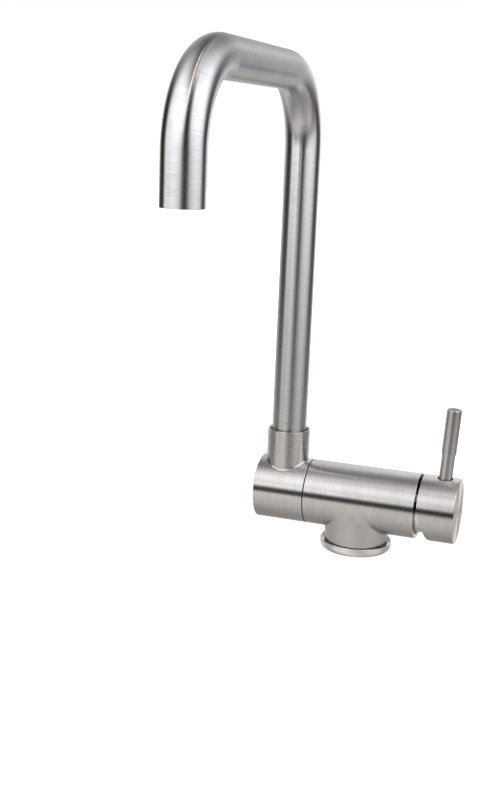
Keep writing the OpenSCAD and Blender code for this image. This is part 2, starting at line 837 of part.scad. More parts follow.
// Port plate of the cartridge, with locating pins and the rim round the fixed disc
module cartridge_base() {
    color("whitesmoke")
        difference() {
            union() {
                bar(seat_x, plate_x, cartridge_d);
                bar(plate_x - past, disc_seat_x, plate_rim_d);
                difference() {
                    bar(disc_seat_x - past, disc_seat_x + fixed_disc_t / 2, plate_rim_d);
                    bar(disc_seat_x, disc_joint_x, fixed_disc_d + 2 * run_gap);
                }
                for (p = locating_places)
                    translate([seat_x - locating_l, p[0], axis_h + p[1]])
                        rotate([0, 90, 0])
                            cylinder(h = locating_l + past, d = locating_d);
            }
            port_bars(seat_x - past, disc_seat_x + past);
            for (p = ports)
                translate([seat_x, p[0], axis_h + p[1]])
                    rotate([0, 90, 0])
                        port_groove(p[2]);
        }
}

// Groove round a port in the plate's underside
module port_groove(d) {
    inner_d = d + 2 * port_seal_inset;
    difference() {
        translate([0, 0, -past])
            cylinder(h = port_seal_t + past, d = inner_d + 2 * port_seal_w);
        translate([0, 0, -2 * past])
            cylinder(h = port_seal_t + 4 * past, d = inner_d);
    }
}

// A seal in such a groove
module port_seal(inner_d) {
    difference() {
        cylinder(h = port_seal_t - seal_gap, d = inner_d + 2 * port_seal_w - 2 * run_gap);
        translate([0, 0, -past])
            cylinder(h = port_seal_t + 2 * past, d = inner_d + 2 * run_gap);
    }
}

// Three seals between the port plate and the body
module port_seals() {
    color("dimgray")
        for (p = ports)
            translate([seat_x, p[0], axis_h + p[1]])
                rotate([0, 90, 0])
                    port_seal(p[2] + 2 * port_seal_inset);
}

// Ceramic disc that stays still, with the three ports
module fixed_disc() {
    color("ivory")
        difference() {
            bar(disc_seat_x, disc_joint_x, fixed_disc_d);
            port_bars(disc_seat_x - past, disc_joint_x + past);
        }
}

// Ceramic disc that turns and slides, with the mixing hollow in its face
module moving_disc() {
    color("ivory")
        difference() {
            bar(disc_joint_x, carrier_x, moving_disc_d);
            intersection() {
                bar(disc_joint_x - past, disc_joint_x + hollow_depth, 2 * hollow_r);
                translate([disc_joint_x - past, -hollow_r, axis_h - hollow_r])
                    cube([past + moving_disc_t, 2 * hollow_r, hollow_r + hollow_top]);
            }
        }
}

// Plastic holder of the moving disc, with the boss that takes the stem's ball
module disc_carrier() {
    color("steelblue")
        difference() {
            union() {
                bar(carrier_x, carrier_top_x, moving_disc_d);
                translate([carrier_x, -boss_w / 2, axis_h - boss_l / 2])
                    cube([boss_top_x - carrier_x, boss_w, boss_l]);
            }
            bar(ball_x - ball_d / 2 - 2 * pass_gap, boss_top_x + past, ball_d + 2 * pass_gap);
        }
}

// Outer shell of the cartridge
module cartridge_housing() {
    color("whitesmoke")
        difference() {
            union() {
                bar(plate_x, shoulder_x, cartridge_d);
                bar(plate_x, shoulder_x + housing_collar_l, housing_collar_d);
            }
            bar(plate_x - past, shoulder_x - shoulder_t, housing_bore_d);
            bar(plate_x, shoulder_x + housing_collar_l + past, rotor_bore_d);
        }
}

// Rotor that turns in the housing and holds the tilt pin
module stem_carrier() {
    color("steelblue")
        difference() {
            union() {
                bar(rotor_x, flange_top_x, rotor_flange_d);
                bar(rotor_x, rotor_top_x, rotor_d);
            }
            translate([rotor_x - past, -boss_window_w / 2, axis_h - boss_window_l / 2])
                cube([flange_top_x - rotor_x + past, boss_window_w, boss_window_l]);
            translate([rotor_x, -blade_window_w / 2, axis_h - blade_window_l / 2])
                cube([rotor_top_x - rotor_x + past, blade_window_w, blade_window_l]);
            on_barrel(rotor_seal_x)
                seal_groove(rotor_bore_d, rotor_seal_d);
            translate([tilt_x, -rotor_d / 2 - past, axis_h])
                rotate([-90, 0, 0])
                    cylinder(h = rotor_d + 2 * past, d = pin_d);
        }
}

// Seal round the rotor
module rotor_o_ring() {
    color("dimgray")
        on_barrel(rotor_seal_x)
            seal(rotor_bore_d, rotor_seal_d);
}

// Hinge pin of the stem
module stem_pin() {
    l = rotor_d - 2 * pin_sunk;
    color("slategray")
        translate([tilt_x, -l / 2, axis_h])
            rotate([-90, 0, 0])
                cylinder(h = l, d = pin_d);
}

// Spindle: ball, blade on the tilt pin, and the square head that the cap is fixed to
module stem() {
    color("goldenrod")
        difference() {
            union() {
                translate([ball_x, 0, axis_h])
                    sphere(d = ball_d);
                bar(ball_x, blade_x + past, ball_neck_d);
                translate([blade_x, -blade_w / 2, axis_h - blade_w / 2])
                    cube([square_x - blade_x, blade_w, blade_w]);
                translate([square_x, -square_w / 2, axis_h - square_w / 2])
                    cube([square_end_x - square_x, square_w, square_w]);
            }
            translate([tilt_x, -blade_w, axis_h])
                rotate([-90, 0, 0])
                    cylinder(h = 2 * blade_w, d = pin_d + 2 * run_gap);
        }
}

// Brass nut that clamps the cartridge, its nose carrying the dome ring
module cartridge_nut() {
    color("goldenrod")
        difference() {
            union() {
                bar(shoulder_x, nut_x, mouth_thread_d - 2 * run_gap);
                bar(nut_x - past, nut_x + nose_l, nose_d);
            }
            bar(shoulder_x - past, nut_x + nose_l + past, nut_bore_d);
        }
}

// Steel shroud over the nut's nose
module dome_ring() {
    color("silver")
        difference() {
            turned([
                [nut_x, 0], [nut_x, dome_d / 2], [dome_edge_x, dome_d / 2],
                [dome_face_x, dome_face_d / 2], [dome_face_x, 0]
            ]);
            bar(nut_x - past, dome_face_x - dome_wall, nose_d + 2 * run_gap);
            bar(nut_x, dome_face_x + past, dome_hole_d);
        }
}

// Places its children on the lever's axis, which leans outwards
module on_lever() {
    translate([lever_x, 0, axis_h])
        rotate([0, lever_lean, 0])
            children();
}

// Cap over the cartridge's end, its lower rim cut on a slant so that it can tip
module handle_cap() {
    bore_d = barrel_d - 2 * cap_wall;
    sink_end_d = 2 * lever_sink_d - lever_hole_d;
    color("silver")
        difference() {
            union() {
                difference() {
                    edged_bar(cap_x, cap_end_x, barrel_d, edge, edge);
                    bar(cap_x - past, hub_end_x, bore_d);
                }
                bar(hub_x, hub_end_x + past, hub_d);
            }
            translate([cap_x, -barrel_d, axis_h + cut_start])
                rotate([0, 90 - cut_angle, 0])
                    translate([0, 0, -barrel_d])
                        cube([2 * barrel_d, 2 * barrel_d, barrel_d]);
            translate([hub_x - past, -square_w / 2 - run_gap, axis_h - square_w / 2 - run_gap])
                cube([square_end_x - hub_x + past, square_w + 2 * run_gap, square_w + 2 * run_gap]);
            on_lever() {
                cylinder(h = barrel_d / 2, d = lever_thread_d + 2 * run_gap);
                translate([0, 0, hub_d / 2])
                    cylinder(h = barrel_d, d = lever_hole_d);
                translate([0, 0, barrel_d / 2 - lever_sink_depth])
                    cylinder(h = 2 * lever_sink_depth, d1 = lever_hole_d, d2 = sink_end_d);
            }
            translate([handle_screw_x, 0, axis_h - barrel_d])
                cylinder(h = barrel_d, d = handle_screw_d + 2 * run_gap);
        }
}

// Stepped lever, its threaded end in the cap's hub
module lever_pin() {
    end = square_w / 2 + lever_end_gap;
    foot = hub_d / 2 + slide_gap;
    top_r = lever_top_d / 2;
    color("silver")
        on_lever()
            rotate_extrude()
                polygon([
                    [0, end], [lever_thread_d / 2, end], [lever_thread_d / 2, foot], [lever_d / 2, foot],
                    [lever_d / 2, lever_step], [top_r - lever_step_edge, lever_step],
                    [top_r, lever_step + lever_step_edge], [top_r, lever_l - edge],
                    [top_r - edge, lever_l], [0, lever_l]
                ]);
}

// Screw that clamps the cap's hub on the stem, from below
module handle_screw() {
    color("slategray")
        translate([handle_screw_x, 0, axis_h])
            rotate([-90, 0, 0])
                set_screw(square_w / 2 + run_gap, square_w / 2 + run_gap + handle_point_l, hub_d / 2,
                    handle_screw_d, handle_point_d);
}

body();
base_ring();
base_gasket();
pivot_bush();
fold_stop_screw();
pivot_washer();
knuckle();
pivot_spigot();
pivot_o_rings();
glide_ring();
spout_set_screw();
spout_tube();
spout_bush();
spout_o_rings();
aerator_sleeve();
aerator_insert();
aerator_washer();
cartridge_base();
port_seals();
fixed_disc();
cartridge_housing();
cartridge_nut();
dome_ring();
moving_disc();
disc_carrier();
stem_carrier();
rotor_o_ring();
stem_pin();
stem();
handle_cap();
lever_pin();
handle_screw();
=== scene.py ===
import math

import bpy
from mathutils import Vector, Matrix
from mathutils.geometry import tessellate_polygon


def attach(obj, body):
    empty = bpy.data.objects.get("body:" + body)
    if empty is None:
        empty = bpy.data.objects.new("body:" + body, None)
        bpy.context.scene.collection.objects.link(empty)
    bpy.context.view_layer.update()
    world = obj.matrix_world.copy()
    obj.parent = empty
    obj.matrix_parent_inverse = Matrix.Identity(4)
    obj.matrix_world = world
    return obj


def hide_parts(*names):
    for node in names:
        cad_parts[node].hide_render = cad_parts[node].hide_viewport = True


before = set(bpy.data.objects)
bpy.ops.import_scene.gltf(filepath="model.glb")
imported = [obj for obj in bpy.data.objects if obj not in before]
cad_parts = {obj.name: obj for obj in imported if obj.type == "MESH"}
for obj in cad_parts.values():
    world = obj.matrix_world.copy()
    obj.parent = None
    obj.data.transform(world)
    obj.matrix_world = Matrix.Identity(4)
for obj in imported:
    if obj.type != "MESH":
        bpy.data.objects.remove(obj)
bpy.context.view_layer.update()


# Camera: the photograph's own viewpoint, from the front, the right and a little
# above, with a long lens on a sensor 36 mm wide.
def placed(name, data):
    """A new object in the scene."""
    made = bpy.data.objects.new(name, data)
    bpy.context.scene.collection.objects.link(made)
    return made


camera_place = Vector((0.1541, -0.6870, 0.2610))
camera_ahead = Vector((-0.3092, 0.9225, -0.2311)).normalized()
camera_up = Vector((-0.1119, 0.2061, 0.9721))
camera_up = (camera_up - camera_ahead * camera_up.dot(camera_ahead)).normalized()
camera_right = camera_ahead.cross(camera_up)
camera_data = bpy.data.cameras.new("camera")
camera_data.lens = 51.38
camera_data.sensor_width = 36
camera_data.clip_start = 0.01
camera_data.clip_end = 50
camera = placed("camera", camera_data)
camera.matrix_world = Matrix([
    (right, up, -ahead, place)
    for right, up, ahead, place in zip(camera_right, camera_up, camera_ahead, camera_place)] + [(0, 0, 0, 1)])
bpy.context.scene.camera = camera


# Studio: a white tent of cloth panels round the part, lit from outside. The
# gaps between its panels give steel its dark lines. Only the part sees the tent.
tent_radius, tent_power = 0.6, 1.35
# Brightness of the tent's wall by direction: degrees from the front towards the right
wall_round = [
    (-180, 0.86), (-164, 0.62), (-150, 0.56), (-120, 0.48), (-108, 0.26), (-95, 0.03), (-74, 0.02), (-66, 0.12),
    (-60, 0.48), (-55, 0.80), (-34, 0.88), (-20, 1.05), (-10, 1.05), (34, 0.88), (40, 0.85), (54, 0.93), (68, 0.96),
    (82, 0.93), (98, 0.74), (108, 0.40), (118, 0.09), (140, 0.05), (150, 0.11), (160, 0.56), (170, 0.86), (180, 0.86),
]
# The gap in front, beside the camera, which stays open almost to the roof, and the same gap near the table
front_gap = [
    (-20, 1.0), (-12, 0.93), (-8, 0.88), (-3, 0.74), (1, 0.50), (4, 0.24), (8, 0.05), (14, 0.02), (20, 0.03),
    (26, 0.12), (31, 0.36), (38, 0.72), (46, 0.94), (54, 1.0),
]
front_gap_low = [
    (-20, 1.0), (-12, 0.93), (-8, 0.86), (-3, 0.66), (1, 0.38), (4, 0.18), (8, 0.04), (14, 0.01), (24, 0.01),
    (29, 0.10), (34, 0.30), (40, 0.58), (48, 0.84), (58, 1.0),
]
# Brightness of the front wall by height: degrees above the level of the barrel
front_rise = [
    (-8, 0.03), (-4, 0.03), (2, 0.045), (5, 0.25), (9, 1.02), (12, 1.22), (15, 1.10), (19, 1.01), (24, 1.13),
    (30, 1.29), (36, 1.40), (45, 1.43), (56, 1.40), (67, 1.14), (79, 0.70), (86, 0.48), (90, 0.40),
]
# The same for the back wall and the roof behind the zenith
back_rise = [
    (-6, 0.60), (0, 0.72), (12, 0.96), (33, 0.98), (46, 0.87), (54, 0.51), (62, 0.27), (72, 0.14), (83, 0.21),
    (90, 0.34),
]
# Brightness of the table as the steel sees it, from straight below up to the level
table_front = [
    (-90, 0.43), (-80, 0.42), (-65, 0.46), (-52, 0.52), (-35, 0.57), (-25, 0.65), (-19, 0.76), (-16, 0.84),
    (-14, 0.76), (-12, 0.45), (-9.3, 0.12), (-7, 0.03),
]
table_back = [(-90, 0.34), (-70, 0.26), (-50, 0.28), (-30, 0.56), (-18, 0.84), (-8, 0.70), (-4, 0.60), (0, 0.70)]

tent_mesh = bpy.data.meshes.new("tent")
rings, spokes = 48, 96
tent_points = [(math.sin(math.pi * i / rings) * math.cos(2 * math.pi * j / spokes) * tent_radius,
                math.sin(math.pi * i / rings) * math.sin(2 * math.pi * j / spokes) * tent_radius,
                math.cos(math.pi * i / rings) * tent_radius) for i in range(rings + 1) for j in range(spokes)]
tent_faces = [(i * spokes + j, (i + 1) * spokes + j, (i + 1) * spokes + (j + 1) % spokes,
               i * spokes + (j + 1) % spokes) for i in range(rings) for j in range(spokes)]
tent_mesh.from_pydata(tent_points, [], tent_faces)
tent = placed("tent", tent_mesh)
tent.location.z = 0.06
tent.visible_camera = False
tent.visible_shadow = False


def linear(code):
    """An sRGB hex colour as linear light."""
    parts = [int(code[i:i + 2], 16) / 255 for i in (0, 2, 4)]
    return tuple(c / 12.92 if c <= 0.04045 else ((c + 0.055) / 1.055) ** 2.4 for c in parts) + (1.0,)


def add(tree, kind, links=None, **settings):
    """One shader node, with its settings, and its inputs linked or set. A node as an input means its first output."""
    made = tree.nodes.new("ShaderNode" + kind)
    for key, value in settings.items():
        setattr(made, key, value)
    for socket, value in (links or {}).items():
        if isinstance(value, bpy.types.Node):
            value = value.outputs[0]
        if isinstance(value, bpy.types.NodeSocket):
            tree.links.new(value, made.inputs[socket])
        else:
            made.inputs[socket].default_value = value
    return made


def blank_material(name):
    """A new material, and its node tree with nothing in it."""
    made = bpy.data.materials.new(name)
    made.use_nodes = True
    made.node_tree.nodes.clear()
    return made, made.node_tree


def measured(tree, angle, stops):
    """The value for an angle in radians, read off a list of (degrees, value)."""
    low, high = stops[0][0], stops[-1][0]
    place = add(tree, "MapRange", {0: angle, 1: math.radians(low), 2: math.radians(high), 3: 0.0, 4: 1.0})
    ramp = add(tree, "ValToRGB", {0: place})
    top = max(v for _, v in stops)
    ramp.color_ramp.interpolation = "LINEAR"
    bar = ramp.color_ramp.elements
    while len(bar) < len(stops):
        bar.new(0.5)
    for mark, (degrees, value) in zip(bar, stops):
        mark.position = (degrees - low) / (high - low)
        mark.color = (value / top, value / top, value / top, 1)
    return add(tree, "Math", {0: ramp, 1: top}, operation="MULTIPLY")


tent_cloth, tree = blank_material("tent cloth, lit from outside")
seen = add(tree, "VectorMath", {0: add(tree, "TexCoord").outputs["Object"]}, operation="NORMALIZE")
sides = add(tree, "SeparateXYZ", {0: seen}).outputs
toward = add(tree, "Math", {0: sides["Y"], 1: -1.0}, operation="MULTIPLY")
azimuth = add(tree, "Math", {0: sides["X"], 1: toward}, operation="ARCTAN2")
height = add(tree, "Math", {0: sides["Z"]}, operation="ARCSINE")
# The front wall reaches round the right side, where the window is
window_way = math.radians(32)
split = add(tree, "Math", {0: sides["Y"], 1: math.cos(window_way)}, operation="MULTIPLY")
split = add(tree, "Math", {0: sides["X"], 1: -math.sin(window_way), 2: split}, operation="MULTIPLY_ADD")
to_back = add(tree, "MapRange", {0: split, 1: -0.35, 2: 0.25}, interpolation_type="SMOOTHSTEP")
# The table's far edge runs a little downhill towards the right
tilt = add(tree, "MapRange", {0: azimuth, 1: math.radians(-23), 2: math.radians(14), 3: math.radians(-1.5),
                              4: math.radians(4)})
level = add(tree, "Math", {0: height, 1: tilt})
rise = add(tree, "Mix", {0: to_back, 2: measured(tree, level, front_rise), 3: measured(tree, height, back_rise)})
round_wall = measured(tree, azimuth, wall_round)
# Low down at the left the cloth is lit more strongly
to_left = measured(tree, azimuth, [(-180, 0), (-70, 0), (-60, 1), (-26, 1), (-12, 0), (180, 0)])
low_down = add(tree, "MapRange", {0: height, 1: math.radians(14), 2: math.radians(24), 3: 0.36, 4: 0.0})
boost = add(tree, "Math", {0: to_left, 1: low_down, 2: 1.0}, operation="MULTIPLY_ADD")
rise = add(tree, "Math", {0: rise, 1: boost}, operation="MULTIPLY")
# The gap in front is wider near the table, and narrows with height, most of all from its right side
gap_middle, gap_top = 14, 11
widen = measured(tree, height, [(-20, 0.76), (2, 0.76), (14, 1.0), (24, 1.0)])
squeeze = add(tree, "MapRange", {0: height, 1: math.radians(18), 2: math.radians(52), 3: 1.0, 4: 1.9})
aside = add(tree, "Math", {0: azimuth, 1: math.radians(-gap_middle)})
aside = add(tree, "Math", {0: aside, 1: widen, 2: math.radians(gap_middle - gap_top)}, operation="MULTIPLY_ADD")
aside = add(tree, "Math", {0: aside, 1: squeeze, 2: math.radians(gap_top)}, operation="MULTIPLY_ADD")
near_table = add(tree, "MapRange", {0: height, 1: math.radians(10), 2: math.radians(13.5), 3: 1.0, 4: 0.0})
gap = add(tree, "Mix", {0: near_table, 2: measured(tree, aside, front_gap), 3: measured(tree, aside, front_gap_low)})
# The gaps between the panels close towards the roof, the one in front last
for panels, foot, head in ((round_wall, 38, 72), (gap, 52, 68)):
    roof = add(tree, "MapRange", {0: height, 1: math.radians(foot), 2: math.radians(head)},
               interpolation_type="SMOOTHSTEP")
    panels = add(tree, "Mix", {0: roof, 2: panels, 3: 1.0})
    rise = add(tree, "Math", {0: rise, 1: panels}, operation="MULTIPLY")
# The table takes on the panels' light and shade, less so towards the part's foot
table = add(tree, "Mix", {0: to_back, 2: measured(tree, level, table_front), 3: measured(tree, height, table_back)})
for panels, foot, share in ((round_wall, -64, 0.72), (gap, -32, 0.95)):
    shade = add(tree, "MapRange", {0: height, 1: math.radians(foot), 2: math.radians(-8), 3: 0.0, 4: share})
    shade = add(tree, "Mix", {0: shade, 2: 1.0, 3: panels})
    table = add(tree, "Math", {0: table, 1: shade}, operation="MULTIPLY")
# At the right the table's far edge is brighter, and the part near the foot is darker
to_right = measured(tree, azimuth, [(-180, 0), (12, 0), (40, 1), (118, 1), (150, 0), (180, 0)])
slope = add(tree, "MapRange", {0: height, 1: math.radians(-23), 2: math.radians(-15), 3: 0.74, 4: 1.2})
slope = add(tree, "Mix", {0: to_right, 2: 1.0, 3: slope})
table = add(tree, "Math", {0: table, 1: slope}, operation="MULTIPLY")
# The seam between two cloths over the camera: a straight line across the roof, left of the middle at the top.
# Its hems are dark, and a warm slit of light comes through between them.
seam = add(tree, "Math", {0: toward, 1: -0.27, 2: 0.14}, operation="MULTIPLY_ADD")
seam = add(tree, "Math", {0: sides["X"], 1: seam})
hem = add(tree, "MapRange", {0: seam, 1: -0.36, 2: -0.08, 3: 0.0, 4: 1.0})
hem_right = add(tree, "MapRange", {0: seam, 1: 0.035, 2: 0.10, 3: 1.0, 4: 0.0})
hem_foot = add(tree, "MapRange", {0: height, 1: math.radians(47), 2: math.radians(57)})
hem_head = add(tree, "MapRange", {0: sides["Y"], 1: 0.0, 2: 0.35, 3: 1.0, 4: 0.0})
for limit in (hem_right, hem_foot, hem_head):
    hem = add(tree, "Math", {0: hem, 1: limit}, operation="MULTIPLY")
hem = add(tree, "Math", {0: hem, 1: -0.83, 2: 1.0}, operation="MULTIPLY_ADD")
rise = add(tree, "Math", {0: rise, 1: hem}, operation="MULTIPLY")
beside = add(tree, "Math", {0: seam}, operation="ABSOLUTE")
slit = add(tree, "MapRange", {0: beside, 1: 0.012, 2: 0.028, 3: 1.0, 4: 0.0})
slit_foot = add(tree, "MapRange", {0: height, 1: math.radians(44), 2: math.radians(54)})
slit_head = add(tree, "MapRange", {0: sides["Y"], 1: -0.30, 2: -0.08, 3: 1.0, 4: 0.0})
for limit in (slit_foot, slit_head):
    slit = add(tree, "Math", {0: slit, 1: limit}, operation="MULTIPLY")
above = add(tree, "MapRange", {0: level, 1: math.radians(-6), 2: math.radians(-3)})
light = add(tree, "Mix", {0: above, 2: table, 3: rise})
light = add(tree, "Math", {0: light, 1: tent_power}, operation="MULTIPLY")
light = add(tree, "Math", {0: slit, 1: 1.7, 2: light}, operation="MULTIPLY_ADD")
warmth = add(tree, "Mix", {0: above, 6: linear("fffbf7"), 7: linear("fdfcff")}, data_type="RGBA").outputs[2]
warmth = add(tree, "Mix", {0: slit, 6: warmth, 7: linear("ffe9cb")}, data_type="RGBA").outputs[2]
glow = add(tree, "Emission", {"Color": warmth, "Strength": light})
add(tree, "OutputMaterial", {"Surface": glow})
tent_mesh.materials.append(tent_cloth)
tent_cloth.cycles.emission_sampling = "NONE"

# A large pale table top, matt, bright enough to look white as in the photograph
floor_mesh = bpy.data.meshes.new("table_top")
floor_mesh.from_pydata([(-4, -4, 0), (4, -4, 0), (4, 4, 0), (-4, 4, 0)], [], [(0, 1, 2, 3)])
floor = placed("table_top", floor_mesh)
floor.location.z = -0.0002
floor.visible_glossy = False
floor_paint, tree = blank_material("matt white table top")
matt = add(tree, "BsdfDiffuse", {"Color": linear("d8d8d8")})
lift = add(tree, "Emission", {"Color": linear("ffffff"), "Strength": 0.82})
add(tree, "OutputMaterial", {"Surface": add(tree, "AddShader", {0: matt, 1: lift})})
floor_mesh.materials.append(floor_paint)

world = bpy.data.worlds.new("white room")
world.use_nodes = True
backdrop = world.node_tree.nodes["Background"].inputs
backdrop["Color"].default_value = (1, 1, 1, 1)
backdrop["Strength"].default_value = 1.02
bpy.context.scene.world = world
bpy.context.scene.view_settings.view_transform = "Standard"

# Body: a T-shaped casting of stainless steel, turned on the outside and brushed
# on a belt while it spins, so the scratches run round the barrel and up the neck.
MM, TURN = 0.001, 2 * math.pi
AXIS = Vector((0, 0, 32.9 * MM))
X, Y, Z = Vector((1, 0, 0)), Vector((0, 1, 0)), Vector((0, 0, 1))


class Skin:
    """Faces of one piece. Each corner is (place, normal, (length, turn), mark), and like places are welded. A mark
    above zero pales and smooths the steel, as hand rubbing on edges and as a painted highlight on the collar's fillet
    and the cap's end face; below zero it is painted shade.
    """

    def __init__(self):
        self.places, self.known, self.faces, self.corners = [], {}, [], []

    def face(self, corners):
        """One face, turned so that it looks the way that its corners' normals point."""
        ids, kept = [], []
        for corner in corners:
            place = corner[0]
            key = (round(place.x * 2e6), round(place.y * 2e6), round(place.z * 2e6))
            i = self.known.get(key)
            if i is None:
                i = self.known[key] = len(self.places)
                self.places.append(place)
            if i not in ids:
                ids.append(i)
                kept.append(corner)
        if len(ids) < 3:
            return
        a, b, c = kept[0][0], kept[1][0], kept[2][0]
        flat = (b - a).cross(c - a)
        if len(ids) > 3:
            flat = flat + (c - a).cross(kept[3][0] - a)
        if flat.dot(sum((k[1] for k in kept), Vector())) < 0:
            ids.reverse()
            kept.reverse()
        self.faces.append(ids)
        self.corners.extend(kept)

    def grid(self, rows):
        """Faces between neighbouring rows of corners."""
        for a, b in zip(rows, rows[1:]):
            for i in range(len(a) - 1):
                self.face((a[i], a[i + 1], b[i + 1], b[i]))

    def make(self, name, material, slot, body, *nodes):
        """The piece itself, riding on a body, in place of these CAD nodes. slot is not used."""
        mesh = bpy.data.meshes.new(name)
        mesh.from_pydata(self.places, [], self.faces)
        mesh.uv_layers.new(name="turning")
        mesh.attributes.new("wear_and_shade", "FLOAT", "CORNER")
        mesh.uv_layers["turning"].data.foreach_set("uv", [v for c in self.corners for v in c[2]])
        mesh.attributes["wear_and_shade"].data.foreach_set("value", [float(c[3]) for c in self.corners])
        mesh.polygons.foreach_set("use_smooth", [True] * len(self.faces))
        mesh.normals_split_custom_set([tuple(c[1].normalized()) for c in self.corners])
        mesh.materials.append(material)
        made = placed(name, mesh)
        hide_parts(*nodes)
        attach(made, body)


def outline(corners):
    """Strips of a turned outline. Each corner is (station, radius, rounding) in mm, with the metal at the right."""
    # A rounding has five steps, and is worn on an outer edge more than in a hollow
    steps, outer_wear, hollow_wear = 5, 1.0, 0.3
    strips, length = [], 0.0
    pts = [Vector((s, r)) for s, r, _ in corners]
    ways = [(b - a).normalized() for a, b in zip(pts, pts[1:])]
    start = pts[0]
    for i, way in enumerate(ways):
        out = Vector((-way.y, way.x))
        end, arc = pts[i + 1], None
        if i + 1 < len(ways) and corners[i + 1][2] > 0:
            after, bend = ways[i + 1], corners[i + 1][2]
            turn_by = math.atan2(way.x * after.y - way.y * after.x, way.dot(after))
            cut = bend * math.tan(abs(turn_by) / 2)
            end = pts[i + 1] - way * cut
            sign = 1 if turn_by < 0 else -1
            hub = end - out * bend * sign
            arc = []
            for k in range(steps + 1):
                a = turn_by * k / steps
                n = Vector((out.x * math.cos(a) - out.y * math.sin(a), out.x * math.sin(a) + out.y * math.cos(a)))
                arc.append((hub + n * bend * sign, n))
        run = (end - start).length
        if run > 1e-9:
            strips.append([(start, out, length, 0), (end, out, length + run, 0)])
        length += run
        start = end
        if arc:
            strip = []
            for k, (p, n) in enumerate(arc):
                strip.append((p, n, length + abs(turn_by) * bend * k / steps,
                              outer_wear if sign > 0 else hollow_wear))
            strips.append(strip)
            length += abs(turn_by) * bend
            start = arc[-1][0]
    return [[(p.x * MM, p.y * MM, n.x, n.y, u * MM, w) for p, n, u, w in strip] for strip in strips]


def turn(skin, strips, origin, along, up, turns, painted_shade_of=None):
    """The strips swept round a line through origin, at these parts of a whole turn from up. The optional shading
    function of (station, radius, turn) is 1 where painted shade darkens the piece and below zero where the piece is
    painted paler; it is kept in each corner's mark."""
    side = along.cross(up)
    for strip in strips:
        rows = []
        for s, r, ns, nr, u, wear_and_shade in strip:
            row = []
            for t in turns:
                out = up * math.cos(TURN * t) + side * math.sin(TURN * t)
                painted_darkening = painted_shade_of(s / MM, r / MM, t) if painted_shade_of else 0
                row.append((origin + along * s + out * r, along * ns + out * nr, (u, t), wear_and_shade * (1 - painted_darkening) - painted_darkening))
            rows.append(row)
        skin.grid(rows)


def outward(t):
    """The way out of the barrel at a part of a turn from its top towards the front."""
    return Z * math.cos(TURN * t) - Y * math.sin(TURN * t)


def on_barrel(station, t):
    """A corner on the outside of the barrel."""
    out = outward(t)
    return (AXIS + X * station + out * barrel_r, out, (station, t), 0.0)


def barrel_normal(place):
    """The way out of the barrel at a place on it."""
    return (Vector((0, place.y, place.z)) - AXIS).normalized()


def pierced(skin, surface, stations, turns, windows):
    """A surface on a grid, with a window left for each hole. A window is (first and last station index, first
    and last turn index, the hole's middle, its edge). Returns the directions round each hole."""
    taken = set()
    for i0, i1, j0, j1, _, _ in windows:
        taken |= {(i, j) for i in range(i0, i1) for j in range(j0, j1)}
    for i in range(len(stations) - 1):
        for j in range(len(turns) - 1):
            if (i, j) not in taken:
                skin.face([surface(stations[p], turns[q]) for p, q in
                           ((i, j), (i + 1, j), (i + 1, j + 1), (i, j + 1))])
    found = []
    for i0, i1, j0, j1, (a0, t0), edge_at in windows:
        rim = ([(i, j0) for i in range(i0, i1)] + [(i1, j) for j in range(j0, j1)]
               + [(i, j1) for i in range(i1, i0, -1)] + [(i0, j) for j in range(j1, j0, -1)])
        marks = []
        for i, j in rim:
            a, t = stations[i], turns[j]
            wide = stations[i1] - a0 if a > a0 else a0 - stations[i0]
            tall = turns[j1] - t0 if t > t0 else t0 - turns[j0]
            marks.append((math.atan2((t - t0) / tall, (a - a0) / wide), a, t))
        marks.sort()
        marks.append((marks[0][0] + TURN, marks[0][1], marks[0][2]))
        rows = []
        for way, a, t in marks:
            ea, et = edge_at(way)
            rows.append([surface(ea + (a - ea) * k, et + (t - et) * k) for k in even(0, 1, 8)])
        skin.grid(rows)
        found.append([way for way, _, _ in marks])
    return found


def even(a, b, steps):
    """Values at even steps from a to b."""
    return [a + (b - a) * k / steps for k in range(steps + 1)]


def saddle(way, foot, ball, barrel, rise):
    """A ball rolled round the foot of an upright of radius foot on a barrel: its centre, and where it touches
    the barrel and the upright. rise is 1 above the barrel and -1 below."""
    x, y = (foot + ball) * math.cos(way), (foot + ball) * math.sin(way)
    z = rise * math.sqrt((barrel + ball) ** 2 - y * y)
    share = barrel / (barrel + ball)
    return Vector((x, y, z)), Vector((x, y * share, z * share)), Vector((foot * math.cos(way),
                                                                         foot * math.sin(way), z))


def saddle_rows(ways, turns_of, x, foot, ball, barrel, rise, far, steps, fillet_highlight, wall, brushed):
    """The rolled fillet, of radius ball(angle), and the upright's wall, out to the height far from the axis. The two
    marks after steps are a painted highlight that peaks along the fillet's middle, and the wall's mark, which below
    zero is painted shade; brushed(height, angle) gives the place in the scratch pattern."""
    rows = []
    for way in ways:
        angle = turns_of(way)
        rolled = ball(angle)
        centre, at_barrel, at_foot = saddle(angle, foot, rolled, barrel, rise)
        shift = AXIS + X * x
        a, b = (at_barrel - centre).normalized(), (at_foot - centre).normalized()
        row = []
        for k in even(0, 1, 8):
            spoke = a.slerp(b, k)
            place = centre + spoke * rolled
            row.append((shift + place, -spoke, brushed(place.z, angle), fillet_highlight * math.sin(math.pi * k) + wall * k))
        out = Vector((math.cos(angle), math.sin(angle), 0))
        row += [(shift + out * foot + Z * z, out, brushed(z, angle), wall) for z in even(at_foot.z, far, steps)]
        rows.append(row)
    return rows


